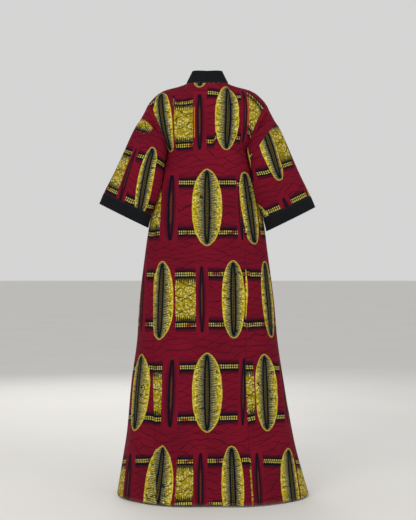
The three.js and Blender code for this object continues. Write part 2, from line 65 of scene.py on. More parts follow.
def smooth_through(x, y, place):
    """Values at places along x, on a smooth curve through the points (x, y)."""
    if x[1] < x[0]:
        x, y = x[::-1], y[::-1]
    slopes = np.empty_like(y)
    slopes[1:-1] = (y[2:] - y[:-2]) / (x[2:] - x[:-2]).reshape((-1,) + (1,) * (y.ndim - 1))
    slopes[0] = (y[1] - y[0]) / (x[1] - x[0])
    slopes[-1] = (y[-1] - y[-2]) / (x[-1] - x[-2])
    i = np.clip(np.searchsorted(x, place) - 1, 0, len(x) - 2)
    width = x[i + 1] - x[i]
    t = np.clip((place - x[i]) / width, 0, 1)
    if y.ndim > 1:
        width, t = width[:, None], t[:, None]
    through = y[i] * (1 + 2 * t) * (1 - t) ** 2 + y[i + 1] * t * t * (3 - 2 * t)
    return through + width * (slopes[i] * t * (1 - t) ** 2 - slopes[i + 1] * t * t * (1 - t))


def read(table, column, place, along="z"):
    """One column of a table at places along another."""
    return smooth_through(table[along], table[column], np.asarray(place, float))


def smooth_step(x):
    x = np.clip(x, 0, 1)
    return x * x * (3 - 2 * x)


def bump(offset, width):
    """A soft ridge of height 1."""
    return np.exp(-((offset / width) ** 2))


def normalized(vectors):
    return vectors / np.linalg.norm(vectors, axis=-1, keepdims=True)


print("a smooth step, from 0 to 1:", smooth_step(np.linspace(0, 1, 5)).round(2))

# %% [markdown]
# ## The body
#
# Below the armholes the jacket is a wide tube. A tailor would take its girth at a few heights;
# here each ring is a rounded rectangle that opens towards the hem. Cloth that widens does not
# stand as a smooth cone: it gathers into soft flutes, which start where the body stops holding
# it and deepen on the way down. The gores are cut out of the same rings by walking a measured
# distance round each one, so that neighbouring pieces meet on exactly the same seam.

# %% The body's tables
HEM_Z = -1428
YOKE_FOOT = -262

# half is half the width, back and front the depths from the middle, power the squareness
# (2 is an ellipse), and shift how far the ring stands towards the wearer's left.
BODY_RINGS = rows_of(
    "z half back front power shift",
    (-250, 142, 106, 116, 2.9, 0),
    (-300, 157, 105, 118, 2.75, 0),
    (-405, 183, 105, 118, 2.5, 1),
    (-500, 201, 110, 119, 2.35, 2),
    (-580, 212, 118, 122, 2.3, 3),
    (-756, 234, 136, 132, 2.25, 2),
    (-900, 245, 149, 142, 2.25, 0),
    (-1040, 264, 162, 154, 2.25, -1),
    (-1204, 284, 181, 170, 2.2, -8),
    (-1290, 299, 193, 181, 2.2, -11),
    (HEM_Z, 329, 216, 204, 2.2, -19),
)

# Soft flutes that open towards the hem: direction from centre back in degrees, how far round
# each reaches, how far it stands out at the hem, and the height where it starts.
FLUTES = (
    (-152, 16, 9, -620),
    (-121, 17, -8, -560),
    (-94, 14, 6, -800),
    (-58, 15, -5, -900),
    (-31, 16, 5, -980),
    (4, 18, -4, -1040),
    (36, 15, 5, -940),
    (66, 14, -6, -860),
    (98, 16, 7, -760),
    (127, 15, -8, -600),
    (155, 17, 8, -660),
)

# Where the gores are sewn in, as distances round the ring from centre back (on the wearer's
# left and right) and from centre front.
GORE_SEAMS = rows_of(
    "z left right front",
    (-250, 179, 179, 187),
    (-420, 187, 152, 182),
    (-620, 190, 136, 178),
    (HEM_Z, 192, 130, 176),
)

# Where the neckband is sewn to the fronts, out from the middle.
FRONT_EDGE = rows_of(
    "z edge", (-250, 100), (-420, 104), (-760, 108), (-1100, 112), (HEM_Z, 118)
)
print("rings:", len(BODY_RINGS["z"]), "and flutes:", len(FLUTES))


# %% Rings of the body
def wrapped(degrees):
    return (degrees + 180) % 360 - 180


def flute_depth(z, angle):
    depth = 0
    for at, width, height, top in FLUTES:
        opened = smooth_step((top - z) / (top - HEM_Z))
        depth = depth + height * opened * bump(wrapped(np.degrees(angle) - at), width)
    return depth


def ring_radius(z, angle):
    """How far the ring at height z stands off its middle, angle being from centre back."""
    depth = np.where(
        np.cos(angle) >= 0, read(BODY_RINGS, "back", z), read(BODY_RINGS, "front", z)
    )
    power = read(BODY_RINGS, "power", z)
    across = np.abs(np.sin(angle) / read(BODY_RINGS, "half", z)) ** power
    deep = np.abs(np.cos(angle) / depth) ** power
    return (across + deep) ** (-1 / power) + flute_depth(z, angle)


def ring_point(z, angle):
    r = ring_radius(z, angle)
    x = read(BODY_RINGS, "shift", z) + r * np.sin(angle)
    return np.stack(np.broadcast_arrays(x, r * np.cos(angle), z), axis=-1)


print("hem, half the width and depth:", ring_radius(HEM_Z, np.radians([90.0, 0.0])).round())

# %% Walking round the rings
ARC_SAMPLES = 121
QUARTER_SAMPLES = 600


def ring_arcs(z, start, end):
    """For each ring, angles between start and end, and how far round it each of them is."""
    angles = start[:, None] + (end - start)[:, None] * np.linspace(0, 1, ARC_SAMPLES)
    pieces = np.linalg.norm(np.diff(ring_point(z[:, None], angles), axis=1), axis=2)
    return angles, np.pad(np.cumsum(pieces, axis=1), ((0, 0), (1, 0)))


def angles_after(z, start, end, distances):
    arcs = zip(distances, *ring_arcs(z, start, end))
    return np.array([np.interp(far, lengths, angles) for far, angles, lengths in arcs])


def shared_out(z, start, end, shares):
    """Angles that divide the arc from start to end in the given shares of its length."""
    angles, lengths = ring_arcs(z, start, end)
    return np.array([np.interp(shares * l[-1], l, a) for a, l in zip(angles, lengths)])


def gore_angle(z, sign, side):
    """Where a gore's back or front seam crosses the rings, on the side of sign."""
    across = np.full(len(z), sign * math.pi / 2)
    if side == "front":
        return angles_after(z, 2 * across, across, read(GORE_SEAMS, "front", z))
    column = "left" if sign > 0 else "right"
    return angles_after(z, 0 * across, across, read(GORE_SEAMS, column, z))


def front_angle(z, sign, x):
    """The angle on the front of each ring that lies x out from the middle."""
    turns = np.linspace(math.pi / 2, math.pi, QUARTER_SAMPLES)
    out = np.abs(ring_radius(z[:, None], sign * turns) * np.sin(turns))
    return sign * np.array([np.interp(w, o[::-1], turns[::-1]) for w, o in zip(x, out)])


def edge_angle(z, sign):
    return front_angle(z, sign, read(FRONT_EDGE, "edge", z))


print("front edge at the hem, in degrees:", np.degrees(edge_angle(np.array([HEM_Z]), 1)).round())

# %% [markdown]
# ## The yoke
#
# Above the armholes there is no ring to follow, only edges: the shoulder seam, the neckline, the
# armhole and the line where the skirt ends. A patch surface blends between four such edges, as
# cloth held along its seams does. The shoulder seam has a slight crown, because a shoulder is
# round and the seam lies on it.

# %% The yoke's measurements
NECK_HALF = 74
NECK_BACK = 60
NECK_DIP = 6
TIP_X, TIP_Z = 205, -72
UNDERARM_X, UNDERARM_Z = 142, -250
ARMHOLE_BACK, ARMHOLE_FRONT = 72, -66
ARMHOLE_SCOOP = 1.6
TOP_FADE, ARMHOLE_FADE = 2.2, 1.7
SHOULDER_CROWN, CROWN_SKEW = 18, 1.6
CENTRE_BACK = ((0, 108, -160), (0, 103, -60))
FRONT_NECK = ((98, -92, -165), (83, -78, -52))
CORNER = 1 / 11  # share of the armhole where the gore's top corners are
NECK_SHARE = 5 / 12  # share of the back yoke's top that is neckline
print("armhole height:", TIP_Z - UNDERARM_Z)


# %% The yoke's edges
def shoulder_seam(share):
    rise = SHOULDER_CROWN * np.sin(np.pi * share**CROWN_SKEW)
    x = NECK_HALF + (TIP_X - NECK_HALF) * share
    return np.stack([x, 0 * share, TIP_Z * share + rise], axis=-1)


def back_neckline(share):
    across, deep = np.sin(share * np.pi / 2), np.cos(share * np.pi / 2)
    return np.stack([NECK_HALF * across, NECK_BACK * deep, -NECK_DIP * deep**2], axis=-1)


def armhole(share, swing):
    """Up one side of the armhole from its foot (0) to the shoulder tip (1)."""
    rise = (1 - np.cos(np.pi * share)) / 2
    x = UNDERARM_X + (TIP_X - UNDERARM_X) * rise**ARMHOLE_SCOOP
    z = UNDERARM_Z + (TIP_Z - UNDERARM_Z) * rise
    return np.stack([x, swing * np.sin(np.pi * share), z], axis=-1)


def armhole_edge(share, swing, foot):
    """The armhole edge of the back or a front, which starts lower, on the gore's seam."""
    corner = armhole(np.array([CORNER]), swing)
    below = foot + (corner - foot) * (share / CORNER)[:, None]
    return np.where((share < CORNER)[:, None], below, armhole(share, swing))


def pulled_curve(foot, pulls, top, t):
    """A curve from foot to top, pulled towards two places on its way."""
    t = t[:, None]
    lower, upper = np.array(pulls, float)
    ends = foot * (1 - t) ** 3 + top * t**3
    return ends + 3 * lower * t * (1 - t) ** 2 + 3 * upper * t * t * (1 - t)


print("shoulder tip:", shoulder_seam(np.array([1.0]))[0].round(1))


# %% Filling in between the edges
def patch(bottom, top, left, right, u, v):
    """A surface between four edges, whose top and armhole shapes fade out away from them."""
    upper = (v**TOP_FADE)[:, None, None]
    outer = (u**ARMHOLE_FADE)[None, :, None]
    low, high = bottom[None], top[None]
    between = low * (1 - upper) + high * upper
    between = between + left[:, None] * (1 - outer) + right[:, None] * outer
    corners = (low[:, :1] * (1 - upper) + high[:, :1] * upper) * (1 - outer)
    return between - corners - (low[:, -1:] * (1 - upper) + high[:, -1:] * upper) * outer


def mirrored(points, sign):
    return points * np.array([sign, 1, 1])


def foot_of(angles):
    return ring_point(np.full(len(angles), float(YOKE_FOOT)), angles)


FOOT = np.array([float(YOKE_FOOT)])
print("middle of the yoke's foot:", foot_of(np.zeros(1))[0].round(1))

# %% [markdown]
# ## Grids for the cloth
#
# Cloth bends softly, so its grid can be fine and even, about 5 mm, but a sewn seam is a sharp
# dent two or three millimetres wide. Extra lines of points beside each seam and above the hem
# let the dents be real shapes without making the whole mesh heavy.

# %% Lines of the grids
GRID = 5.0
SEAM_LINES = (1.2, 2.6, 4.2)  # extra lines beside a seam, in millimetres from it
HEM_TURN = 13  # depth of the turned hem
HEM_LINES = (HEM_TURN - 1.4, HEM_TURN, HEM_TURN + 1.4)
LEAST_GAP = 0.55  # even lines nearer than this share of a step to an extra line are left out

# Rough lengths of the pieces, which say how many lines each grid needs.
YOKE_LENGTH, CHEST_LENGTH = 262, 300
BACK_WIDTH, FRONT_WIDTH, GORE_WIDTH = 192, 132, 270
SLEEVE_LENGTH, CUFF_LENGTH = 345, 48


def lines(length, start=(), end=(), keep=(0, 1)):
    """Shares of a length at even steps, with extra lines near its ends, and some kept."""
    even = np.linspace(0, 1, int(round(length / GRID)) + 1)[1:-1]
    extra = np.array([x / length for x in start] + [1 - x / length for x in end] + list(keep))
    clear = np.abs(even[:, None] - extra[None]).min(axis=1) > LEAST_GAP * GRID / length
    return np.sort(np.concatenate([even[clear], extra]))


skirt_z = HEM_Z + (YOKE_FOOT - HEM_Z) * lines(YOKE_FOOT - HEM_Z, start=HEM_LINES)
yoke_v = lines(YOKE_LENGTH, end=SEAM_LINES, keep=(0, CORNER, 1))[1:]
print(len(skirt_z), "rows in the skirt and", len(yoke_v), "in the yoke")


# %% The back's grid
def back_half(sign):
    """Half of the back, from the middle to its gore and armhole."""
    u = lines(BACK_WIDTH, end=SEAM_LINES, keep=(0, NECK_SHARE, 1))
    nothing = np.zeros(len(skirt_z))
    angles = shared_out(skirt_z, nothing, gore_angle(skirt_z, sign, "back"), u)
    skirt = ring_point(skirt_z[:, None], angles)
    side = np.abs(gore_angle(FOOT, sign, "back"))
    bottom = foot_of(shared_out(FOOT, np.zeros(1), side, u)[0])
    on_neck = back_neckline(np.minimum(u / NECK_SHARE, 1))
    on_shoulder = shoulder_seam(np.clip((u - NECK_SHARE) / (1 - NECK_SHARE), 0, 1))
    top = np.where((u <= NECK_SHARE)[:, None], on_neck, on_shoulder)
    middle = pulled_curve(bottom[0], CENTRE_BACK, on_neck[0], yoke_v)
    right = armhole_edge(yoke_v, ARMHOLE_BACK, bottom[-1])
    yoke = patch(bottom, top, middle, right, u, yoke_v)
    return np.concatenate([skirt, mirrored(yoke, sign)])


def back_grid():
    return np.concatenate([back_half(-1)[:, :0:-1], back_half(1)], axis=1)


print("rows and columns of the back:", back_grid().shape[:2])

# %% The grids of the fronts and the gores
GORE_TOP_ROWS = 4


def front_edge_curve(t):
    foot = foot_of(edge_angle(FOOT, 1))[0]
    return pulled_curve(foot, FRONT_NECK, shoulder_seam(np.zeros(1))[0], t)


def front_grid(sign):
    """A front, from the neckband to the gore and the armhole."""
    u = lines(FRONT_WIDTH, start=SEAM_LINES, end=SEAM_LINES)
    seam, edge = gore_angle(skirt_z, sign, "front"), edge_angle(skirt_z, sign)
    skirt = ring_point(skirt_z[:, None], shared_out(skirt_z, edge, seam, u))
    ends = edge_angle(FOOT, 1), np.abs(gore_angle(FOOT, sign, "front"))
    bottom = foot_of(shared_out(FOOT, *ends, u)[0])
    right = armhole_edge(yoke_v, ARMHOLE_FRONT, bottom[-1])
    yoke = patch(bottom, shoulder_seam(u), front_edge_curve(yoke_v), right, u, yoke_v)
    return np.concatenate([skirt, mirrored(yoke, sign)])


def gore_grid(sign):
    """A side gore, from the back to the front; its top edge is the foot of the armhole."""
    u = lines(GORE_WIDTH, start=SEAM_LINES, end=SEAM_LINES, keep=(0, 0.5, 1))
    seams = gore_angle(skirt_z, sign, "back"), gore_angle(skirt_z, sign, "front")
    skirt = ring_point(skirt_z[:, None], shared_out(skirt_z, *seams, u))
    up = CORNER * np.abs(1 - 2 * u)
    behind = (u < 0.5)[:, None]
    top = np.where(behind, armhole(up, ARMHOLE_BACK), armhole(up, ARMHOLE_FRONT))
    rise = np.linspace(0, 1, GORE_TOP_ROWS + 1)[1:, None, None]
    return np.concatenate([skirt, skirt[-1] + (mirrored(top, sign) - skirt[-1]) * rise])


print("rows and columns of a front:", front_grid(1).shape[:2])
print("rows and columns of a gore:", gore_grid(1).shape[:2])

# %% [markdown]
# ## Sleeves
#
# A kimono sleeve is nearly a flat tube: two layers that meet in an outer and an inner fold. So
# its table gives the two folds and the depth between the layers, from the armhole to the cuff.
# At the armhole the rings are pulled onto the armhole curve itself, and below it the sleeve is
# kept a few millimetres off the body, as two pieces of cloth cannot share one place.

# %% The sleeve's tables
CUFF_END = 1.14
SLEEVE_CLEARANCE = 6
CLEARED_BELOW = -235
RIGHT_ARM_DROP = 12
RING_POINTS = 45  # points of a ring from the inner fold to the outer one
STEP_AHEAD = 0.02
FOLD_OPENS, FOLD_CLOSES = 0.15, 0.2  # shares of the sleeve over which a fold comes and goes

# Outer and inner fold of the flattened sleeve, and half its depth, from the armhole (0) to
# the cuff's seam (1) and end.
SLEEVE_SECTIONS = rows_of(
    "share out_x out_y out_z in_x in_y in_z depth",
    (0, 205, 0, -72, 142, 0, -250, 70),
    (0.1, 220, 1, -102, 143, 9, -271, 67),
    (0.25, 245, 2, -149, 145, 52, -302, 61),
    (0.5, 285, 5, -235, 153, 60, -354, 56),
    (0.75, 323, 8, -314, 168, 57, -407, 52),
    (1, 358, 11, -380, 192, 48, -459, 49),
    (CUFF_END, 375, 13, -420, 204, 45, -505, 48),
)

# Soft folds down a sleeve: place round the section in degrees, width, depth, start and end.
SLEEVE_FOLDS = (
    (52, 20, -5, 0.08, 0.62),
    (118, 24, 4, 0.2, 0.95),
    (236, 22, 5, 0.15, 0.8),
    (305, 24, -5, 0.1, 0.7),
)
print("sections in the sleeve's table:", len(SLEEVE_SECTIONS["share"]))


# %% Rings of a sleeve
def sleeve_folds(share, turn):
    depth = 0
    for around, width, height, start, end in SLEEVE_FOLDS:
        run = smooth_step((share - start) / FOLD_OPENS) * smooth_step((end - share) / FOLD_CLOSES)
        depth = depth + height * run * bump(wrapped(np.degrees(turn) - around), width)
    return depth


def on_sleeve(share, *columns):
    return np.stack([read(SLEEVE_SECTIONS, c, share, "share") for c in columns], axis=-1)


def sleeve_section(share, turns):
    """Rings of the left sleeve; a turn goes from the outer fold (0) over the back."""
    def folds(at):
        return on_sleeve(at, "out_x", "out_y", "out_z"), on_sleeve(at, "in_x", "in_y", "in_z")

    outer, inner = folds(share)
    half = (outer - inner) / 2
    ahead = sum(folds(share + STEP_AHEAD)) - sum(folds(share - STEP_AHEAD))
    backward = normalized(np.cross(half, ahead))
    backward *= np.where(backward[:, 1:2] < 0, -1, 1)
    depth = read(SLEEVE_SECTIONS, "depth", share, "share")[:, None]
    depth = depth + sleeve_folds(share[:, None], turns)
    middle = ((outer + inner) / 2)[:, None]
    sideways = half[:, None] * np.cos(turns)[None, :, None]
    return middle + sideways + backward[:, None] * (depth * np.sin(turns))[..., None]


def clear_of_body(points, share):
    """Keeps a sleeve off the body beside it."""
    shift = read(BODY_RINGS, "shift", points[..., 2])
    out = points[..., 0] - shift
    angle = np.arctan2(out, points[..., 1])
    radius = np.hypot(out, points[..., 1])
    clearance = SLEEVE_CLEARANCE * smooth_step(share / CORNER)[:, None]
    least = ring_radius(points[..., 2], angle) + clearance
    held = (radius < least) & (points[..., 2] <= CLEARED_BELOW) & (share > 0)[:, None]
    moved = np.stack([shift + least * np.sin(angle), least * np.cos(angle), points[..., 2]], -1)
    return np.where(held[..., None], moved, points)


def sleeve_rings(sign, share):
    up = np.linspace(0, 1, RING_POINTS)
    turns = np.concatenate([np.pi * (1 - up), -np.pi * up[1:-1]])
    ring = np.concatenate([armhole(up, ARMHOLE_BACK), armhole(1 - up[1:-1], ARMHOLE_FRONT)])
    at_armhole = ring - sleeve_section(np.zeros(1), turns)[0]
    fade = ((1 - np.clip(share, 0, 1)) ** 2)[:, None, None]
    points = sleeve_section(share, turns) + at_armhole * fade
    if sign < 0:
        points[..., 2] -= RIGHT_ARM_DROP * smooth_step(share)[:, None]
    return clear_of_body(mirrored(points, sign), share)


sleeve_shares = lines(SLEEVE_LENGTH, start=SEAM_LINES, end=SEAM_LINES)
cuff_shares = 1 + (CUFF_END - 1) * lines(CUFF_LENGTH, start=SEAM_LINES)
print("sleeve rows:", len(sleeve_shares), "and cuff rows:", len(cuff_shares))

# %% [markdown]
# ## The neckband
#
# The band is a long doubled strip sewn to the neckline and to both front edges. Round the neck
# it stands up, and as it comes over the shoulder point it turns down and lies flat on the
# chest. A table gives the direction in which it leans off its seam at a few places, and the
# strip is swept along the seam.

# %% The neckband
BAND_WIDTH = 45
BAND_BLEND = 60  # height over which the chest's lean turns into the skirt's
NECK_POINTS = 22  # along half of the back of the neck
FREE_EDGE_LINES = (1.5, 3, 4.5)

# How the band leans off its seam, from centre back (0) past the neck point (1) to the
# armhole's foot (2).
BAND_LEAN = rows_of(
    "share in front up",
    (0, 0, 0.3, 0.95),
    (0.6, 0.3, 0.16, 0.94),
    (1, 0.52, 0.06, 0.85),
    (1.35, 0.82, 0.14, 0.55),
    (1.7, 0.91, 0.36, 0.14),
    (2, 0.9, 0.42, 0),
)


def lean(share):
    lean_in, front, up = (read(BAND_LEAN, c, share, "share") for c in ("in", "front", "up"))
    return normalized(np.stack([-lean_in, -front, up], axis=-1))


def band_grid(sign):
    """One strip of the neckband, from centre back over the neck point to the hem."""
    across = lines(BAND_WIDTH, start=SEAM_LINES, end=FREE_EDGE_LINES)
    neck = np.linspace(0, 1, NECK_POINTS)
    chest = lines(CHEST_LENGTH)[1:]
    seam = np.concatenate([back_neckline(neck), front_edge_curve(1 - chest)])
    away = lean(np.concatenate([neck, 1 + chest])) * BAND_WIDTH
    upper = mirrored(seam[:, None] + away[:, None] * across[None, :, None], sign)
    z = skirt_z[-2::-1]
    start = edge_angle(z, sign)
    free = front_angle(z, sign, read(FRONT_EDGE, "edge", z) - BAND_WIDTH)
    lower = ring_point(z[:, None], start[:, None] + (free - start)[:, None] * across)
    turning = 1 - smooth_step((YOKE_FOOT - z) / BAND_BLEND)
    leaning = lower[:, :1] + mirrored(away[-1:, None] * across[None, :, None], sign)
    lower = lower + (leaning - lower) * turning[:, None, None]
    return np.concatenate([upper, lower])


print("points across the neckband:", band_grid(1).shape[1])

# %% [markdown]
# ## Laying each piece flat
#
# The print was on the cloth before it was cut, so it has to lie evenly on the flat pattern and
# not on the shape in the air. Unwrapping tools can do that, but cloth itself gives a simpler
# recipe: put a spring between every two neighbouring stitches, lay the net on a table, and let
# it relax until each spring has its own length. The flat net is then the piece's pattern, its
# size is the size of the cut, and its coordinates carry the print.

# %% Flat patterns
NET = 20.0  # spacing of the net that is relaxed
ROUNDS = 900
GIVE = 0.3  # share of what its springs ask for that a point moves in a round
SPRINGS = ((0, 1), (1, 0), (1, 1), (1, -1))


def thinned(count, length):
    return np.unique(np.linspace(0, count - 1, max(3, int(length / NET) + 2)).astype(int))


def pair(net, down, right):
    rows, columns = net.shape[:2]
    first = net[: rows - down, max(0, -right) : columns - max(0, right)]
    return first, net[down:, max(0, right) : columns - max(0, -right)]


def relaxed(net):
    """The flat net, in millimetres, whose springs have the lengths they have in the air."""
    middle = net.shape[1] // 2
    across = np.pad(np.cumsum(np.linalg.norm(np.diff(net, axis=1), axis=2), 1), ((0, 0), (1, 0)))
    up = np.pad(np.cumsum(np.linalg.norm(np.diff(net[:, middle], axis=0), axis=1)), (1, 0))
    flat = np.stack([across - across[:, middle : middle + 1], 0 * across + up[:, None]], -1)
    rest = [np.linalg.norm(np.subtract(*pair(net, *spring)), axis=2) for spring in SPRINGS]
    for _ in range(ROUNDS):
        moves = np.zeros_like(flat)
        for spring, wanted in zip(SPRINGS, rest):
            first, second = pair(flat, *spring)
            gap = second - first
            move = gap * (1 - wanted / np.linalg.norm(gap, axis=2))[..., None] / 2
            into_first, into_second = pair(moves, *spring)
            into_first += move
            into_second -= move
        flat += GIVE * moves
    return flat


print("rounds:", ROUNDS, "and springs from each point:", 2 * len(SPRINGS))


# %% Laying a fine grid flat
def laid_flat(grid):
    """Flat coordinates of a fine grid, upright, with 0 at the middle of its first row."""
    height = np.linalg.norm(np.diff(grid[:, grid.shape[1] // 2], axis=0), axis=1).sum()
    width = np.linalg.norm(np.diff(grid, axis=1), axis=2).sum(axis=1).max()
    rows, columns = thinned(grid.shape[0], height), thinned(grid.shape[1], width)
    flat = relaxed(grid[np.ix_(rows, columns)])
    middle = flat.shape[1] // 2
    up = normalized(flat[-1, middle] - flat[0, middle])
    flat = flat - flat[0, middle]
    flat = np.stack([flat @ np.array([up[1], -up[0]]), flat @ up], axis=-1)
    flat = smooth_through(rows, flat.reshape(len(rows), -1), np.arange(grid.shape[0]))
    flat = flat.reshape(len(flat), len(columns), 2).transpose(1, 0, 2)
    flat = smooth_through(columns, flat.reshape(len(columns), -1), np.arange(grid.shape[1]))
    return flat.reshape(grid.shape[1], grid.shape[0], 2).transpose(1, 0, 2)


strip = laid_flat(band_grid(1))
print("a neckband laid flat, length:", round(np.ptp(strip[..., 1])), "mm")

# %% [markdown]
# ## Where the print lies
#
# The cloth is a wax print: rows of the same few motifs, printed side by side and then cut by
# the pattern pieces. From left to right a repeat holds a leaf, a plain field between two
# ladders, a spindle and a dotted panel between two ladders, and some rows turn round at a
# leaf. A printed repeat is never quite even and the pieces were cut a little askew, so a
# tiled pattern would look too clean.
#
# Instead each piece has a chart, as a weaver would draw it: for each row, where its middle
# line runs on the flat cloth and at which places certain motifs stand. Between two marks the
# motifs are stretched evenly. The result is a second set of coordinates: how far across the
# repeat a point of the cloth is, and how far above the row's middle line.

# %% The repeat, in millimetres
REPEAT = 243
LEAF_HALF, LEAF_TALL = 38.5, 133
FIELD_END = 83
SPINDLE = 105
PANEL_START, PANEL_END = 126, 195.5
BARE = 400  # so far above its row that nothing is printed there
UPPERMOST_ROW = 1180  # only the top row of the back and the fronts lies above this
BEYOND = 1000  # how far past its first and last mark a row goes on
print("a repeat of", REPEAT, "mm with a leaf", 2 * LEAF_HALF, "mm wide")


# %% Rows of motifs
def row(middle, *marks, lean=((0, 0),), stretch=((0, 1),), folded=False, only=None):
    """A row of motifs: its middle line as (u, v), and marks as (u, place in the repeat).

    lean is how far a mark moves along u for each step along v. A folded row is the same on
    both sides of its leaf at 0. only is the range of repeat, height above the middle line and
    share of the piece's rows of points that the row is kept to.
    """
    if len(marks) == 1:
        (u, m), = marks
        marks = (u, m), (u + 1, m + 1)
    marks = np.array(marks, float)
    ends = np.sign(marks[-1, 1] - marks[0, 1]) * BEYOND
    before, after = marks[0] - (BEYOND, ends), marks[-1] + (BEYOND, ends)
    return {
        "middle": np.array(middle, float), "marks": np.vstack([before, marks, after]),
        "lean": np.array(lean, float), "stretch": np.array(stretch, float),
        "folded": folded, "only": only,
    }


def between(table, u):
    """A straight-line reading of two columns; a table with no u above 0 serves both sides."""
    u = -np.abs(u) if table[:, 0].max() <= 0 else u
    return np.interp(u, table[:, 0], table[:, 1])


def on_row(chart_row, flat):
    """Place in the repeat, and height above the row's middle line, of the faces' corners."""
    u, up = flat[..., 0], flat[..., 1] - between(chart_row["middle"], flat[..., 0])
    upright = u - between(chart_row["lean"], u) * up
    m = np.interp(upright, chart_row["marks"][:, 0], chart_row["marks"][:, 1])
    if chart_row["folded"]:
        m = m * np.where(m.mean(axis=1, keepdims=True) < 0, -1, 1)
    return np.stack([m, up * between(chart_row["stretch"], u)], axis=-1)


def charted(rows, flat, share):
    """The chart's coordinates for the corners of faces; share is how far up a face is."""
    places = np.full(flat.shape, float(BARE))
    nearest = np.full(len(flat), float(BARE))
    for chart_row in rows:
        found = on_row(chart_row, flat)
        m, y = found.mean(axis=1).T
        if chart_row["only"] is None:
            chosen = np.abs(y) < nearest
            nearest = np.where(chosen, np.abs(y), nearest)
        else:
            (m_from, m_to), (y_from, y_to), (low, high) = chart_row["only"]
            chosen = (m > m_from) & (m < m_to) & (y > y_from) & (y < y_to)
            chosen &= (share > low) & (share < high)
        places[chosen] = found[chosen]
    return places


plain_row = row(((0, 100),), (0, 0))
print("20 mm across and 30 mm above a row:", on_row(plain_row, np.array([[[20.0, 130.0]]]))[0, 0])

# %% The chart of the back
WHOLE = (0, 1)
ANYWHERE = (-2000, 2000)

# Marks of the lowest row. It is printed closer together, so that its lower ladders show at
# the hem: two more rows, further down, give just them.
HEM_MARKS = (-30, 38.5), (15, 83), (39.5, 105), (64.4, 126), (121.9, 195.5), (131, 204.5)

BACK_ROWS = (
    row(
        ((0, 61),), (-104, -38.5), (-78, -11), (-67, 0), (-56, 11), *HEM_MARKS,
        (172, 232), (183, 243), (194, 254), (214, 264),
        lean=((-60, 0), (40, -0.03), (100, -0.05), (170, -0.15)), folded=True,
        stretch=((150, 1), (165, 0.94)),
    ),
    row(
        ((0, 372.6),), (-113.6, -105), (-96.3, -83), (-42.8, -38.5), (-3, -11), (7.9, 0),
        (19, 11), (58.8, 38.5), (104, 83), (128.8, 105), (164.6, 126),
        lean=((-110, -0.06), (-60, -0.028)), folded=True,
    ),
    row(
        ((0, 685.5),), (-127.5, -38.5), (-98, -11), (-87, 0), (-76, 11), (-48, 38.5),
        (-3.9, 83), (19.6, 105), (40.2, 126), (111, 195.5), (115.5, 204.5), (152.5, 232),
        (163.5, 243), (174.5, 254), (196, 281.5), lean=((110, 0), (150, -0.055)),
        folded=True,
    ),
    row(
        ((0, 1000),), (-112, -105), (-100, -83), (-49.7, -38.5), (-10, -11), (1.3, 0),
        (12, 11), (52.4, 38.5), (98.9, 83), (124.3, 105), (168, 126),
        lean=((-112, 0.06), (-90, 0), (60, 0), (110, -0.022)), folded=True,
    ),
    row(
        ((-195, 1280), (-144, 1345), (-118, 1318), (-27, 1318), (-24, 1311), (5, 1311),
         (20, 1298), (40, 1295), (50, 1290), (115, 1290), (118, 1310)),
        (-144, -126), (-129, -105), (-118, -83), (-108.6, -38.5), (-82, -11), (-71, 0),
        (-60, 11), (-26.2, 38.5), (1.5, 83), (26.6, 105), (49.9, 126), (113, 195.5),
        (119.6, 204.5), (145, 232), (156, 243), (166, 254), (184, 281.5),
        lean=((-30, -0.04), (0, 0), (115, 0), (118, 0.137)), folded=True,
        stretch=((-27, 1.1), (-24, 1), (2, 1), (20, 1.12), (115, 1.1), (118, 1.14)),
    ),
    row(
        ((0, 1000),), (-160, -11), (-149, 0), (-138, 11), (-116, 38.5),
        lean=((0, 0.152),), stretch=((0, 1.08),), only=((-60, 40), (-150, 150), WHOLE),
    ),
    row(((0, 1553),), (25.6, 0), only=((-24, 24), (-160, -100), WHOLE)),
    row(((0, 87),), *HEM_MARKS, lean=((0, -0.03),), only=((36, 86), (-99, -70), WHOLE)),
    row(((0, 89),), *HEM_MARKS, lean=((0, -0.05),), only=((121, 198), (-99, -50), WHOLE)),
)
print("rows on the back:", len(BACK_ROWS))

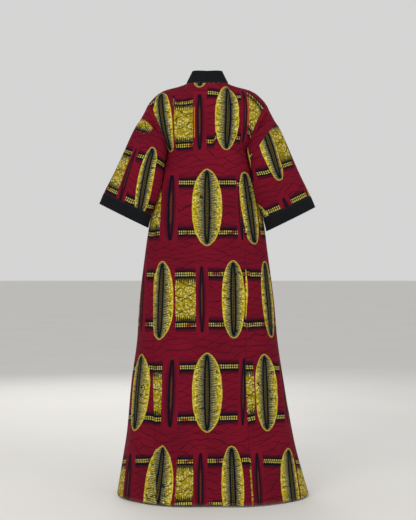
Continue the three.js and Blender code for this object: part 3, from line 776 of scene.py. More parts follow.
# %% The charts of the gores
GORE_LEFT_ROWS = (
    row(
        ((-202, 72.6), (-149.7, 59.6), (-83.6, 42.8), (0, 22)),
        (-300, 21), (-210, 22), (-188, 40), (-139.7, 83), (-107.7, 105), (-83.6, 126),
        lean=((-205, 0.06), (-150, 0.16)), stretch=((-200, 0.94), (-185, 1)),
    ),
    row(
        ((-163, 380), (-113, 372), (-80, 366.6), (0, 354)),
        (-163, -55), (-147, -38.5), (-101, -11), (-90, 0), (-79, 11), (-45, 38.5),
        lean=((0, 0.042),), folded=True,
    ),
    row(((-123, 693), (-89, 690), (-52, 686.6), (0, 684)), (-123, 44), (-50, 105),
        lean=((0, 0.12),)),
    row(((0, 1000),), (-60, 142), (-25, 195.5), (-18, 204.5)),
    row(((0, 1310),), (0, 0)),
)
GORE_RIGHT_ROWS = (
    row(
        ((-253, 102.5), (-189.5, 83.4), (-115.9, 61.3), (-44.8, 40), (0, 28)),
        (-265, 126), (-242.5, 105), (-222, 83), (-159, 38.5), (-123, 11), (-111, 0),
        (-99, -11), (-81, -38.5), (-74, -47.5), lean=((0, 0.24),),
    ),
    row(
        ((-190.5, 403), (-124.4, 388.6), (-67.3, 377), (0, 365)),
        (-203, 168), (-172.5, 195.5), (-171.5, 204.5), (-143, 232), (-132, 243), (-121, 254),
        (-78.7, 281.5), (-50, 326), (-28, 348), (-8, 369), lean=((0, 0.18),),
    ),
    row(
        ((-136.2, 709.5), (-89.3, 703.5), (-61, 700.4), (0, 696)),
        (-160, 90), (-85, 38.5), (-65, 11), (-54, 0), (-43, -11), (-20, -38.5),
        lean=((0, 0.06),), folded=True,
    ),
    row(
        ((0, 1016),), (-84, 0), (-73, -11), (-53, -38.5), (-49, -47.5),
        stretch=((-84, 1.08), (-50, 1.08), (-44, 1)),
    ),
    row(((0, 1325),), (0, 0)),
    row(((0, 711),), (-141, 38.5), lean=((0, 0.21),), only=((0, 40), (-150, 150), WHOLE)),
)
print("rows on the gores:", len(GORE_LEFT_ROWS), len(GORE_RIGHT_ROWS))

# %% The charts of the sleeves
SLEEVE_LEFT_ROWS = (
    row(
        ((-235, 241), (-192, 247), (-112, 258), (-46, 259)),
        (-182, -38.5), (-163, -11), (-153, 0), (-143, 11), (-128, 38.5), (-99, 83),
        (-84, 105), (-69, 126), (-16, 195.5), (-7, 204.5),
        lean=((-125, -0.26), (-85, -0.157), (-20, -0.1)), folded=True,
        stretch=((-192, 1.1), (-135, 1.12), (-90, 1.22)),
    ),
    row(((0, 30),), (-87, 126), (-15, 195.5), only=((120, 200), (30, 78), (0.21, 1))),
)
SLEEVE_RIGHT_ROWS = (
    row(
        ((-235, 118), (-150, 148), (-37, 155)),
        (-172, 326), (-129, 281.5), (-106.5, 254), (-95.5, 243), (-84.5, 232), (-70.5, 204.5),
        (-69.5, 195.5), (-16, 126), lean=((0, -0.15),), stretch=((0, 1.14),),
    ),
    row(
        ((0, 416),), (-211, 24), (-152, 83), (-130, 105), (-109, 126), (-40, 195.5),
        (-31, 204.5), stretch=((0, 1.21),),
    ),
    row(((0, BARE * 2),), (0, 0), only=(ANYWHERE, ANYWHERE, (0, 0.24))),
    row(
        ((0, 88),), (-205, 0), (-166, 38.5), stretch=((0, 1.5),),
        only=((0, 40), (-150, 150), WHOLE),
    ),
)
print("rows on the sleeves:", len(SLEEVE_LEFT_ROWS), len(SLEEVE_RIGHT_ROWS))

# %% The chart of the fronts, and all charts by piece
FRONT_ROWS = (
    row(((0, 66),), (-30, 105)),
    row(((0, 375),), (0, 0), folded=True),
    row(((0, 687),), (-30, 105)),
    row(((0, 1001),), (0, 0), folded=True),
    row(((0, 1308),), (-30, 105)),
)
CHARTS = {
    "back": BACK_ROWS, "front_left": FRONT_ROWS, "front_right": FRONT_ROWS,
    "gore_left": GORE_LEFT_ROWS, "gore_right": GORE_RIGHT_ROWS,
    "sleeve_left": SLEEVE_LEFT_ROWS, "sleeve_right": SLEEVE_RIGHT_ROWS,
}
print("rows charted:", {name: len(rows) for name, rows in CHARTS.items()})

# %% [markdown]
# ## From a grid to cloth
#
# A single sheet of faces has no thickness and shows its back as its front. Real cloth has two
# faces and an edge, so each grid becomes a thin closed wall: the outer face, an inner face the
# cloth's thickness behind it, and a narrow rim. Before that the seams are dented, since
# stitches pull the cloth in, and the dents pucker a little along their length.

# %% Thickness, dents and folds
CLOTH = 0.9
BAND_CLOTH = 1.8
SEAM_DENT, SEAM_REACH = 1.3, 2.4
PUCKER, PUCKER_REACH = 0.35, 9
HEM_DENT, HEM_REACH = 0.7, 1.7
FOLD_FADE = 30  # a fold dies away over this distance from a sewn edge

# Soft folds of the worn cloth, placed on the flat pieces: the middle (u, v), the direction in
# degrees from across, how far each reaches along and across that direction, and its height.
# The right-hand pieces have those of the left, mirrored.
FOLDS = {
    "back": (
        (-110, 1225, 62, 70, 13, 2.2),
        (-128, 1190, 48, 60, 12, -2),
        (112, 1225, 118, 70, 13, 2.2),
        (130, 1190, 132, 60, 12, -2),
        (-46, 1150, 82, 150, 20, 1.8),
        (52, 1120, 97, 150, 20, 1.8),
        (-33, 560, 91, 330, 24, -2.6),
        (10, 610, 89, 360, 22, 2.4),
        (70, 420, 87, 300, 26, -2.4),
        (-96, 300, 93, 260, 24, 2.6),
        (120, 240, 86, 220, 22, 2.6),
        (-60, 180, 92, 170, 24, -2.8),
        (34, 170, 88, 160, 24, -2.6),
    ),
    "gore_left": (
        (-110, 420, 96, 260, 24, 3), (-40, 330, 93, 260, 24, -3.4), (60, 300, 88, 260, 26, 3),
    ),
    "front_left": (
        (10, 700, 90, 380, 22, 2), (-20, 300, 91, 220, 20, -2), (30, 1200, 100, 110, 14, 2),
    ),
    "sleeve_left": (
        (-60, 60, 112, 60, 13, 3), (-96, 84, 108, 70, 13, -3), (-150, 130, 100, 90, 15, 3),
        (-92, 210, 80, 80, 16, 2.6), (-40, 240, 96, 90, 16, -2.4), (90, 150, 84, 110, 18, 3),
    ),
}
for name in ("gore", "front", "sleeve"):
    FOLDS[f"{name}_right"] = tuple(
        (-u, v, 180 - turn, reach, width, rise)
        for u, v, turn, reach, width, rise in FOLDS[f"{name}_left"]
    )
print("soft folds:", sum(len(folds) for folds in FOLDS.values()))


# %% Which way is out
def grid_normals(grid, closed, outward):
    """Unit normals of a grid, on the side that outward points to."""
    along = np.gradient(grid, axis=0)
    if closed:
        across = np.roll(grid, -1, axis=1) - np.roll(grid, 1, axis=1)
    else:
        across = np.gradient(grid, axis=1)
    normals = normalized(np.cross(across, along))
    return normals if (normals * outward).sum() > 0 else -normals


def from_axis(grid):
    out = grid.copy()
    out[..., 2] = np.maximum(0, grid[..., 2] + 250)
    return out


def from_middles(grid):
    return grid - grid.mean(axis=1, keepdims=True)


front = front_grid(1)
print("out of a front:", grid_normals(front, False, from_axis(front))[0, 0].round(2))


# %% [markdown]
# ## Dents and folds
#
# On the jacket the cloth breaks into short folds at the armholes and hangs from the hips in
# long soft ones. A cloth simulation would find folds of its own, in places nobody can choose.
# Here every fold is one line of the table above: a soft ridge laid on the flat piece, which
# dies away towards the seams, because stitches hold the cloth there. The dents of the seams
# and of the turned hem are worked out from how far a point is from its edge.

# %% Dents and folds
def seam_distances(grid, edges):
    """How far each point is from each sewn edge, and how far along that edge."""
    cuts = {
        "start": (grid[:, :1], 0), "end": (grid[:, -1:], 0),
        "first": (grid[:1], 1), "last": (grid[-1:], 1),
    }
    for name in edges:
        edge, axis = cuts[name]
        steps = np.linalg.norm(np.diff(edge, axis=axis), axis=2)
        before = [(1, 0) if a == axis else (0, 0) for a in (0, 1)]
        run = np.pad(np.cumsum(steps, axis=axis), before)
        yield np.linalg.norm(grid - edge, axis=2), run


def sewn_dents(grid, edges):
    """How far the stitches pull the cloth in, beside its sewn edges.

    The pucker is a wave about 20 mm long, of a length and a height that vary along the seam.
    """
    depth = 0
    for away, run in seam_distances(grid, edges):
        pucker = np.sin(run / 3.1 + 1.3 * np.sin(run / 17)) * np.sin(run / 23 + 1)
        depth = depth - SEAM_DENT * bump(away, SEAM_REACH)
        depth = depth + PUCKER * pucker * bump(away, PUCKER_REACH)
    return depth


def soft_folds(name, grid, flat, edges):
    """How far the folds lift each point; they die away towards the sewn edges."""
    height = np.zeros(flat.shape[:2])
    for u, v, turn, reach, width, rise in FOLDS.get(name, ()):
        off = flat - (u, v)
        c, s = math.cos(math.radians(turn)), math.sin(math.radians(turn))
        along, across = off[..., 0] * c + off[..., 1] * s, off[..., 1] * c - off[..., 0] * s
        height += rise * bump(along, reach) * bump(across, width)
    for away, _ in seam_distances(grid, edges):
        height *= smooth_step(away / FOLD_FADE)
    return height


def hem_dent(away):
    """The line where the turned hem is stitched down, given the distance from its fold."""
    return -HEM_DENT * bump(away - HEM_TURN, HEM_REACH)


print("deepest dent along a front's seams:", sewn_dents(front, ("start", "end")).min().round(2))


# %% [markdown]
# ## A wall with two faces and an edge
#
# Blender can thicken a sheet with a modifier. Writing the faces down is as short, and each
# corner then knows its row and column, so that the flat pattern, the chart and the distance
# to the seam can be stored at it as UV layers. The finishes read those layers.

# %% A closed wall
def wall_faces(rows, columns, closed):
    """Corners of the faces of a closed wall, as (layer, row, column) with no wrapping."""
    spans = columns if closed else columns - 1
    cells = np.meshgrid(np.arange(rows - 1), np.arange(spans), indexing="ij")
    i, j = (x.ravel() for x in cells)

    def corners(*places):
        return np.stack([np.stack(np.broadcast_arrays(*p), -1) for p in places], 1)

    outer = corners((0, i, j), (0, i, j + 1), (0, i + 1, j + 1), (0, i + 1, j))
    inner = corners((1, i, j), (1, i + 1, j), (1, i + 1, j + 1), (1, i, j + 1))
    j = np.arange(spans)
    last = rows - 1
    rims = [
        corners((0, 0, j), (1, 0, j), (1, 0, j + 1), (0, 0, j + 1)),
        corners((0, last, j), (0, last, j + 1), (1, last, j + 1), (1, last, j)),
    ]
    if not closed:
        i = np.arange(last)
        rims.append(corners((0, i, 0), (0, i + 1, 0), (1, i + 1, 0), (1, i, 0)))
        rims.append(corners((0, i, spans), (1, i, spans), (1, i + 1, spans), (0, i + 1, spans)))
    faces = np.concatenate([outer, inner] + rims)
    return faces, len(outer) + len(inner)


def volume_of(points, quads):
    """Six times the volume, which is below zero where the faces look inwards."""
    a, b, c, d = (points[quads[:, k]] for k in range(4))
    first = (np.cross(a, b) * c).sum()
    return first + (np.cross(a, c) * d).sum()


print("faces of a wall of 2 by 2 cells:", len(wall_faces(3, 3, False)[0]))


# %% A mesh that carries its flat pattern
def cloth_mesh(name, grid, normals, layers, rows_charted, closed, thickness):
    """A mesh of the wall between a grid and the same grid moved in by its thickness."""
    rows, columns = grid.shape[:2]
    inner = grid - normals * thickness
    points = np.concatenate([grid.reshape(-1, 3), inner.reshape(-1, 3)]) / 1000
    faces, smooth = wall_faces(rows, columns, closed)
    at = (faces[..., 0] * rows + faces[..., 1]) * columns + faces[..., 2] % columns
    if volume_of(points, at) < 0:
        at, faces = at[:, ::-1], faces[:, ::-1]
    mesh = bpy.data.meshes.new(name)
    mesh.from_pydata(points.tolist(), [], at.tolist())
    corners = {k: layer[faces[..., 1], faces[..., 2]] for k, layer in layers.items()}
    if rows_charted:
        share = faces[..., 1].mean(axis=1) / (rows - 1)
        corners["chart"] = charted(rows_charted, corners["cloth"], share)
    for layer, places in corners.items():
        uv = mesh.uv_layers.new(name=layer)
        uv.data.foreach_set("uv", (places / 1000).ravel())
    mesh.polygons.foreach_set("use_smooth", np.arange(len(faces)) < smooth)
    mesh.update()
    return mesh


def flat_area(flat):
    """Area of a flat pattern in square metres."""
    a, b = flat[1:, 1:] - flat[:-1, :-1], flat[1:, :-1] - flat[:-1, 1:]
    return np.abs(a[..., 0] * b[..., 1] - a[..., 1] * b[..., 0]).sum() / 2e6


print("cloth in a neckband:", round(flat_area(strip), 3), "m2")


def sew(name, grid, finish, sewn, stitched="first", closed=False, thickness=CLOTH):
    """Makes one cloth piece and puts it in place of its walls.

    sewn names the edges that are sewn to a neighbour, and stitched the one from which the
    finish measures its row of stitches.
    """
    outward = from_middles(grid) if closed else from_axis(grid)
    normals = grid_normals(grid, closed, outward)
    opened = np.concatenate([grid, grid[:, :1]], axis=1) if closed else grid
    flat = laid_flat(opened)
    edge = np.full(flat.shape, float(BARE))
    for away, run in seam_distances(opened, (stitched,) if stitched else ()):
        edge = np.stack(np.broadcast_arrays(away, run), axis=-1)
    columns = grid.shape[1]
    lift = sewn_dents(grid, sewn) + soft_folds(name, grid, flat[:, :columns], sewn)
    if finish is printed:
        lift = lift + hem_dent(edge[:, :columns, 0])
    grid = grid + normals * lift[..., None]
    normals = grid_normals(grid, closed, outward)
    chart_rows = CHARTS.get(name)
    layers = {"cloth": flat, "edge": edge}
    mesh = cloth_mesh(f"{name}_cloth", grid, normals, layers, chart_rows, closed, thickness)
    piece = bpy.data.objects.new(f"{name}_cloth", mesh)
    bpy.context.collection.objects.link(piece)
    mesh.materials.append(finish.material)
    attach(piece, "root")
    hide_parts(*(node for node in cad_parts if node.startswith(name)))
    size = np.ptp(flat.reshape(-1, 2), axis=0) / 1000
    {"cut": size, "area": flat_area(flat), "faces": len(mesh.polygons)}
    print(f"{name}: cut {size[0]:.3f} x {size[1]:.3f} m, {flat_area(flat):.3f} m2")
    return piece


# %% [markdown]
# ## Writing a finish
#
# A finish is a small program that Blender runs at every point of the surface. Drawing it as a
# web of boxes would take hundreds of them, so a little class lets the same web be written as
# arithmetic: a Value is what one socket gives, and every sum or product of Values adds the
# node that works it out.

# %% Shader maths as Python
class Value:
    """What a socket gives, for use in sums."""

    def __init__(self, finish, socket):
        self.finish, self.socket = finish, socket

    def maths(self, operation, *others, clamp=False):
        settings = {"operation": operation, "use_clamp": clamp}
        return self.finish.node("ShaderNodeMath", settings, self, *others)

    def __add__(self, other):
        return self.maths("ADD", other)

    def __mul__(self, other):
        return self.maths("MULTIPLY", other)

    def __sub__(self, other):
        return self.maths("SUBTRACT", other)

    def __rsub__(self, other):
        return self.maths("MULTIPLY_ADD", -1.0, other)

    def __truediv__(self, other):
        return self.maths("DIVIDE", other)

    def __pow__(self, power):
        return self.maths("POWER", power)

    def __mod__(self, length):
        return self.maths("FLOORED_MODULO", length)

    def __abs__(self):
        return self.maths("ABSOLUTE")

    __radd__, __rmul__ = __add__, __mul__

    def above(self, edge, width):
        """1 above the edge and 0 below it, over a soft width; edge is a number."""
        return self.maths("MULTIPLY_ADD", 1 / width, 0.5 - edge / width, clamp=True)

    def below(self, edge, width):
        return self.maths("MULTIPLY_ADD", -1 / width, 0.5 + edge / width, clamp=True)

    def output(self, name):
        """Another output of the same node."""
        return Value(self.finish, self.socket.node.outputs[name])


print("a Value can be used with:", "+ - * / ** % abs")


# %% A material written by name
class Finish:
    """A material whose nodes are added by name."""

    def __init__(self, name, **constants):
        self.material = bpy.data.materials.new(name)
        self.material.use_nodes = True
        self.tree = self.material.node_tree
        self.shader = self.tree.nodes["Principled BSDF"]
        for socket, number in constants.items():
            self.shader.inputs[socket.replace("_", " ")].default_value = number

    def node(self, kind, settings, *values, **named):
        """Adds a node, sets it up, fills its sockets and gives its first output."""
        node = self.tree.nodes.new(kind)
        for setting, value in settings.items():
            setattr(node, setting, value)
        for socket, value in [*enumerate(values), *named.items()]:
            self.fill(node.inputs[socket], value)
        return Value(self, node.outputs[0])

    def fill(self, socket, value):
        if isinstance(value, Value):
            self.tree.links.new(value.socket, socket)
        else:
            socket.default_value = value

    def give(self, **values):
        for socket, value in values.items():
            self.fill(self.shader.inputs[socket.replace("_", " ")], value)

    def mix(self, share, first, second):
        """A colour between two, where a share of 1 gives the second."""
        node = self.node("ShaderNodeMix", {"data_type": "RGBA"}, share).socket.node
        self.fill(node.inputs[6], first)
        self.fill(node.inputs[7], second)
        return Value(self, node.outputs[2])

    def layer(self, name):
        """The two coordinates of a UV layer, in millimetres, and both as one vector."""
        metres = self.node("ShaderNodeUVMap", {"uv_map": name})
        both = self.node("ShaderNodeVectorMath", {"operation": "SCALE"}, metres, Scale=1000.0)
        across = self.node("ShaderNodeSeparateXYZ", {}, both)
        return across, across.output("Y"), both

    def noise(self, place, size, detail=2.0):
        """Smooth noise from about -0.5 to 0.5, whose blotches are about size wide."""
        settings = {"noise_dimensions": "2D"}
        found = self.node(
            "ShaderNodeTexNoise", settings, Vector=place, Scale=1 / size, Detail=detail
        )
        return found - 0.5

    def shifted(self, place, x, y):
        settings = {"operation": "ADD"}
        return self.node("ShaderNodeVectorMath", settings, place, (x, y, 0.0))


print("what a finish can do:", [name for name in vars(Finish) if not name.startswith("_")])


# %% Stripes and colours
def stripes(value, pitch):
    """Distance from the middle of the nearest stripe."""
    return abs(value % pitch - pitch / 2)


def colour(red, green, blue):
    """A colour given on the 0 to 255 scale of a colour picker, for a socket."""
    def straight(x):
        x /= 255
        return x / 12.92 if x <= 0.04045 else ((x + 0.055) / 1.055) ** 2.4

    return straight(red), straight(green), straight(blue), 1.0


print("crimson as a socket wants it:", [round(x, 3) for x in colour(118, 16, 36)])

# %% [markdown]
# ## The wax print
#
# Wax prints are made by printing hot wax on both faces of the cloth and dyeing what it leaves
# bare. Where the wax cracks, dye creeps in as thin dark veins, and drops of wax leave pale
# bubbles. The print could be a picture wrapped round the cloth, but a picture blurs up close.
# Here every motif is a formula in millimetres of the repeat, so its edges stay sharp, while
# veins, bubbles and threads follow the real cloth.

# %% Colours of the print
CRIMSON, DEEP_CRIMSON = colour(118, 16, 36), colour(104, 13, 32)
RED_HALO = colour(126, 15, 37)
NAVY = colour(10, 14, 24)
VEIN = colour(34, 8, 25)
YELLOW, LEAF_YELLOW = colour(172, 150, 18), colour(186, 164, 24)
RIM_YELLOW = colour(198, 184, 50)
OLIVE, BUBBLE = colour(98, 84, 12), colour(216, 210, 140)
DARK_CORE, CORE_RUNG = colour(26, 27, 22), colour(100, 86, 34)
LADDER_SQUARE, THREAD = colour(186, 172, 78), colour(64, 18, 30)
ASH = colour(146, 146, 112)
MAROON, ORANGE, BRICK = colour(66, 10, 29), colour(190, 112, 30), colour(160, 62, 30)
print("the deep crimson:", [round(x, 3) for x in DEEP_CRIMSON])

# %% Veins, dashes and the sizes of the motifs
VEIN_GAPS = -0.06, 0.16  # where the noise is below the first, a vein is broken
DOT_PITCH, RUNG_PITCH = 3.9, 4.8
TEETH_V, TEETH_PANEL = 5.8, 6.6
SPINE_TALL, SPINE_HALF, CORE_IN = 125, 10.8, 6.2
LADDER_AT, LADDER_HALF = 84.7, 12.8
LADDER_LINES, SQUARE_PITCH = (89.5, 82), 7.6
SPINDLE_TALL, SPINDLE_SHADE, SPINDLE_HALF = 112, 14, 4.6
SLIVER_AT = 121
PANEL_TALL = 73


def veins(along, wander, spacing, width, gaps):
    """Thin wandering lines a spacing apart, each broken here and there."""
    line = stripes(along + wander, spacing).below(width / 2, 0.9)
    return line * gaps.above(*VEIN_GAPS)


def dashes(across, pitch, length):
    return stripes(across, pitch).below(length / 2, 0.8)


print("ladders at", LADDER_AT, "mm above and below a row's middle line")


# %% [markdown]
# ## The motifs
#
# A motif is a short formula. It says how deep inside the shape a point lies, in millimetres,
# so that every edge is equally soft, and which colour the cloth has there. The leaf has a pale
# rim, spotted blades, dark barbs along its veins and a black spine with small rungs. The
# ladders are rows of small squares on a dark band, and the spindle is a slim dark body with a
# warm heart.

# %% The leaf
def leaf(finish, t, y, v, cloth, cells):
    """How much of a leaf covers each point, and its colour; t is the distance off its spine."""
    steep = 2.2
    tall = y / LEAF_TALL
    outer = t / LEAF_HALF
    fall = 1 - outer * outer - tall**steep
    across, upward = outer * (2 / LEAF_HALF), tall ** (steep - 1) * (steep / LEAF_TALL)
    inside = fall / ((across**2 + upward**2) ** 0.5 + 0.002)
    spine = (1 - (y / SPINE_TALL) ** 2).maths("MAXIMUM", 0.0) ** 0.25 * SPINE_HALF
    off_spine = t - spine
    tooth = stripes(v + t * 0.3, TEETH_V) / (TEETH_V / 2)
    barbs = (1.05 - off_spine / 19 - tooth).above(0, 0.3)
    fill = finish.mix(cells[0], LEAF_YELLOW, BUBBLE)
    fill = finish.mix(cells[1] * 0.8, fill, OLIVE)
    fill = finish.mix(off_spine.below(9, 18) * 0.8, fill, ASH)
    fill = finish.mix(barbs * 0.8, fill, NAVY)
    wander = finish.noise(finish.shifted(cloth, 90, 0), 34) * 44
    vein = veins(v, wander, 27, 2.4, cells[2] + 0.12)
    fill = finish.mix(vein * 0.9, fill, NAVY)
    fill = finish.mix(inside.below(3, 2.2) * 0.65, fill, RIM_YELLOW)
    navy = off_spine.below(0, 1.4) * inside.above(5, 3)
    fill = finish.mix(navy, fill, NAVY)
    rung = dashes(v, RUNG_PITCH, 2.6) * t.above(1.0, 0.8)
    core = (off_spine + CORE_IN).below(0, 1.2)
    fill = finish.mix(core, fill, finish.mix(rung, DARK_CORE, CORE_RUNG))
    return inside.above(0, 1.0), fill


print("a leaf is", 2 * LEAF_TALL, "mm tall and", 2 * LEAF_HALF, "mm wide")


# %% The ladders and the spindle
def ladder(finish, ground, p, y, u, v, gaps):
    """The two ladders of a row, and the faint strokes beside them, over the ground."""
    beside_panel = p.above(PANEL_START, 1) * p.below(PANEL_END, 1)
    here = p.below(FIELD_END, 1) + beside_panel
    off = abs(y - LADDER_AT)
    dots = (dashes(u, DOT_PITCH, 2.2) + dashes(v, DOT_PITCH, 2.2)) * 0.3 + 0.35
    fade = (off - 12).below(7, 14) ** 0.7
    ground = finish.mix((dots + 0.25) * fade * here, ground, VEIN)
    ground = finish.mix(off.below(LADDER_HALF, 1) * here, ground, NAVY)
    upper, lower = (abs(y - line).below(2.5, 1) for line in LADDER_LINES)
    square = stripes(u, SQUARE_PITCH).below(2.2, 1.0) * (upper + lower) * here
    worn = finish.mix(gaps.above(0.1, 0.1), LADDER_SQUARE, BRICK)
    return finish.mix(square, ground, worn)


def spindle(finish, ground, p, y, v, gaps):
    """A slim spindle with its clear halo, over the ground."""
    d = abs(p - SPINDLE)
    round_off = (1 - (y / 113) ** 2).maths("MAXIMUM", 0.0) ** 0.5
    there = y.below(SPINDLE_TALL, 2)
    shade = (d - round_off * SPINDLE_SHADE).below(0, 9)
    dots = (dashes(v, DOT_PITCH, 2.4) * 0.4 + 0.5) * shade * there
    ground = finish.mix(dots * 0.85, ground, VEIN)
    sliver = abs(p - SLIVER_AT).below(1.7, 1) * y.below(60, 4) * v.above(UPPERMOST_ROW, 5)
    ground = finish.mix(sliver * 0.85, ground, ORANGE)
    edge = d - round_off * SPINDLE_HALF - 2.6
    ground = finish.mix(edge.below(0, 1.4) * there, ground, NAVY)
    rung = dashes(v, RUNG_PITCH, 2.6) * y.below(52, 20) * 0.5
    heart = finish.mix(rung, MAROON, finish.mix(gaps.above(0, 0.08), BRICK, CORE_RUNG))
    return finish.mix((edge + SPINDLE_HALF).below(0, 1.2) * y.below(96, 12), ground, heart)


print("a spindle is", 2 * SPINDLE_TALL, "mm tall")


# %% The panel
def panel(finish, p, y, u, v, cloth, cells):
    """The dotted panel between two ladders."""
    inside = p.above(PANEL_START, 1) * p.below(PANEL_END, 1) * y.below(PANEL_TALL, 1)
    fill = finish.mix(cells[0], YELLOW, BUBBLE)
    fill = finish.mix(cells[1] * 0.6 + 0.22, fill, OLIVE)
    drift = finish.noise(finish.shifted(cloth, 0, 70), 40) * 24
    for slope, spacing in ((0.42, 37), (-0.36, 49)):
        vein = veins(v + u * slope, drift, spacing, 2.4, cells[2] + 0.12)
        fill = finish.mix(vein * 0.9, fill, NAVY)
    tooth = stripes(u, TEETH_PANEL) / (TEETH_PANEL / 2)
    teeth = ((y - 50) / 21 - tooth).above(0, 0.3)
    return inside, finish.mix(teeth * 0.92, fill, NAVY)


print("a panel is", PANEL_END - PANEL_START, "mm wide and", 2 * PANEL_TALL, "mm tall")

# %% [markdown]
# ## The cloth itself
#
# Printed cotton is matt, and what light there is on it shows the threads and a slight crumple.
# Both are too fine for the mesh, so a Bump node tilts the surface instead. The colours are put
# on in a printer's order: ground, crackle, ladders, spindles, panels, leaves, and last the
# stitches of the hem.

# %% The weave
THREAD_PITCH = 0.8
STITCH, STITCH_GAP = 2.5, 3.4  # length of a stitch, and from one stitch to the next
STITCH_HALF = 0.45


def woven(finish, u, v, cloth, stitch):
    """The normal of plain weave that is a little crumpled, with stitches standing on it."""
    over = stripes(u, THREAD_PITCH) + stripes(v, THREAD_PITCH)
    crumple = finish.noise(finish.shifted(cloth, 40, 900), 70, 3.0) * 2.4
    height = over * 0.08 + crumple + stitch
    return finish.node("ShaderNodeBump", {}, Distance=0.001, Strength=1.0, Height=height)


def stitches(off, run):
    """A row of stitches, given the distance off its line and along it."""
    return off.below(STITCH_HALF, 0.3) * dashes(run, STITCH_GAP, STITCH)


print("threads in a centimetre:", 10 / THREAD_PITCH)

# %% The printed cotton
BUBBLE_SPACING = 8.4
WOBBLE, WOBBLE_SIZE = 2.2, 17  # how far the motifs' edges wander, and over what distance


def printed_cotton():
    finish = Finish(
        "printed cotton", Specular_IOR_Level=0.05, Sheen_Weight=0.01, Sheen_Roughness=0.4
    )
    m, y, _ = finish.layer("chart")
    u, v, cloth = finish.layer("cloth")
    hand = finish.noise(cloth, WOBBLE_SIZE)
    m = m + hand * WOBBLE
    y = abs(y + finish.noise(finish.shifted(cloth, 50, 30), WOBBLE_SIZE) * WOBBLE)
    p = m % REPEAT
    t = abs((m + REPEAT / 2) % REPEAT - REPEAT / 2)

    gaps = finish.noise(finish.shifted(cloth, 7, 200), 34)
    drift = finish.noise(cloth, 84, 1.2) * 56
    other_drift = finish.noise(finish.shifted(cloth, 300, 0), 92, 1.2) * 60
    blotch = finish.noise(finish.shifted(cloth, 500, 90), 130)
    ground = finish.mix(blotch.above(0, 0.5), CRIMSON, DEEP_CRIMSON)
    halo = abs(p - SPINDLE).below(20, 6) * y.below(122, 20)
    crackle = veins(v + u * 0.24, drift, 23, 1.9, gaps + 0.14)
    crackle = crackle.maths("MAXIMUM", veins(v - u * 0.22, other_drift, 28, 1.8, 0.14 - gaps))
    ground = finish.mix(crackle * 0.8 * (1 - halo * 0.85), ground, VEIN)
    ground = finish.mix(halo * 0.25, ground, RED_HALO)

    ground = ladder(finish, ground, p, y, u, v, gaps)
    ground = spindle(finish, ground, p, y, v, gaps)
    settings = {"voronoi_dimensions": "2D"}
    drops = finish.node("ShaderNodeTexVoronoi", settings, Vector=cloth, Scale=1 / BUBBLE_SPACING)
    some = finish.node("ShaderNodeSeparateColor", {}, drops.output("Color"))
    bubbles = drops.below(0.34, 0.16) * some.above(0.42, 0.2)
    muddy = finish.noise(finish.shifted(cloth, 20, 410), 8).above(0.07, 0.14)
    cells = bubbles, muddy * (1 - bubbles), gaps
    for shape, fill in (
        panel(finish, p, y, u, v, cloth, cells),
        leaf(finish, t, y, v, cloth, cells),
    ):
        ground = finish.mix(shape, ground, fill)
    away, run, _ = finish.layer("edge")
    stitch = stitches(abs(away - HEM_TURN), run)
    ground = finish.mix(stitch * 0.8, ground, THREAD)
    ground = finish.mix(away.below(4, 8) * 0.14, ground, ASH)
    finish.give(
        Base_Color=ground, Roughness=0.78 + hand * 0.16,
        Normal=woven(finish, u, v, cloth, stitch * 0.25),
    )
    return finish


printed = printed_cotton()
print("printed cotton:", len(printed.tree.nodes), "nodes")

# %% [markdown]
# ## The plain black cotton
#
# Dyed black cotton is never one black: it fades a little where it rubs, and its weave scatters
# light. What tells the eye that this is a doubled, sewn band is the row of topstitching, drawn
# from the distance to the seam that every piece carries in its "edge" layer.

# %% The black cotton
TOPSTITCH_AT = 3  # from the seam


def black_cotton():
    finish = Finish(
        "black cotton", Specular_IOR_Level=0.06, Sheen_Weight=0.01, Sheen_Roughness=0.5
    )
    u, v, cloth = finish.layer("cloth")
    away, run, _ = finish.layer("edge")
    faded = finish.noise(cloth, 60, 3.0)
    shade = finish.mix(faded.above(0, 0.8), colour(18, 19, 21), colour(25, 26, 29))
    stitch = stitches(abs(away - TOPSTITCH_AT), run)
    shade = finish.mix(stitch * 0.8, shade, colour(56, 58, 62))
    finish.give(
        Base_Color=shade, Roughness=0.86 + faded * 0.1,
        Normal=woven(finish, u, v, cloth, stitch * 0.3),
    )
    return finish


black = black_cotton()
print("black cotton:", len(black.tree.nodes), "nodes")

# %% [markdown] ## Sewing  Every piece now goes through the same steps: a grid, its flat
# pattern, folds, dents, mesh and finish.


OPEN_SEAMS = ("start", "end", "last")
sew("back", back_grid(), printed, OPEN_SEAMS)
for word, sign in (("left", 1), ("right", -1)):
    sew(f"front_{word}", front_grid(sign), printed, OPEN_SEAMS)
    sew(f"gore_{word}", gore_grid(sign), printed, OPEN_SEAMS)
    sleeve, cuff = (sleeve_rings(sign, shares) for shares in (sleeve_shares, cuff_shares))
    sleeve = sew(f"sleeve_{word}", sleeve, printed, ("first", "last"), None, closed=True)
    cuff = sew(f"cuff_{word}", cuff, black, ("first",), closed=True, thickness=BAND_CLOTH)
    band = sew(
        f"neckband_{word}", band_grid(sign), black, ("start",), "start", thickness=BAND_CLOTH
    )

# %% [markdown]
# ## The studio
#
# A pale floor a few millimetres below the hem, a bright even room and three large soft lamps: one
# from the upper left, a weaker one that opens the shadows on the right, and one for whoever
# walks round to look at the front. Large lamps give soft shadows, which show folds best.

# %% The floor
FLOOR_HALF = 40  # metres, so that its edge is far behind the jacket
FLOOR_GAP = 0.006


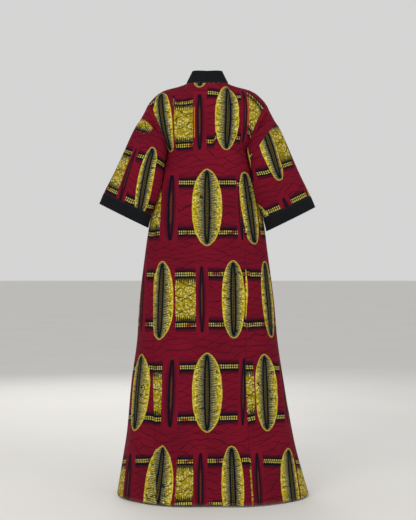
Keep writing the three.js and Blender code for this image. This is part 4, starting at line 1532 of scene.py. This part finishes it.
def standing_floor():
    mesh = bpy.data.meshes.new("floor")
    w = FLOOR_HALF
    mesh.from_pydata([(-w, -w, 0), (w, -w, 0), (w, w, 0), (-w, w, 0)], [], [(0, 1, 2, 3)])
    floor = bpy.data.objects.new("floor", mesh)
    floor.location = (0, 0, HEM_Z / 1000 - FLOOR_GAP)
    bpy.context.collection.objects.link(floor)
    finish = Finish("pale floor", Roughness=0.8)
    place = finish.node("ShaderNodeNewGeometry", {})
    grain = finish.noise(place, 0.6, 4.0)
    shade = finish.mix(grain.above(0, 1.6), colour(218, 215, 211), colour(228, 226, 222))
    finish.give(Base_Color=shade)
    mesh.materials.append(finish.material)


standing_floor()
print("floor at", round(HEM_Z / 1000 - FLOOR_GAP, 3), "m")


# %% The lamps and the room
def soft_light(name, place, aim, size, power):
    light = bpy.data.lights.new(name, "AREA")
    light.shape = "DISK"
    light.size = size
    light.energy = power
    lamp = bpy.data.objects.new(name, light)
    lamp.location = place
    lamp.rotation_mode = "QUATERNION"
    lamp.rotation_quaternion = (Vector(aim) - Vector(place)).to_track_quat("-Z", "Y")
    bpy.context.collection.objects.link(lamp)


soft_light("key", (1.6, 3.2, 1.2), (0, 0, -0.6), 2.2, 52)
soft_light("fill", (-2.6, 2.4, 0.4), (0, 0, -0.7), 2.6, 24)
soft_light("front", (0.8, -3.2, 0.8), (0, 0, -0.7), 2.6, 36)
world = bpy.data.worlds.new("studio")
world.use_nodes = True
world.node_tree.nodes["Background"].inputs["Color"].default_value = (0.92, 0.92, 0.915, 1)
world.node_tree.nodes["Background"].inputs["Strength"].default_value = 0.72
bpy.context.scene.world = world
bpy.context.scene.view_settings.view_transform = "Standard"
print("lamps:", [lamp.name for lamp in bpy.data.lights])

# %% The camera
FOCAL_PX, PICTURE_PX = 1117, 520  # focal length for a picture of this height, in its pixels
SENSOR = 24
camera_data = bpy.data.cameras.new("camera")
camera_data.sensor_fit = "VERTICAL"
camera_data.sensor_height = SENSOR
camera_data.lens = SENSOR * FOCAL_PX / PICTURE_PX
camera = bpy.data.objects.new("camera", camera_data)
camera.location = (-0.0024, 3.9, -0.616)
camera.rotation_euler = (math.pi / 2, 0, math.pi)
bpy.context.collection.objects.link(camera)
bpy.context.scene.camera = camera
print("lens:", round(camera_data.lens, 1), "mm")

# %% [markdown]
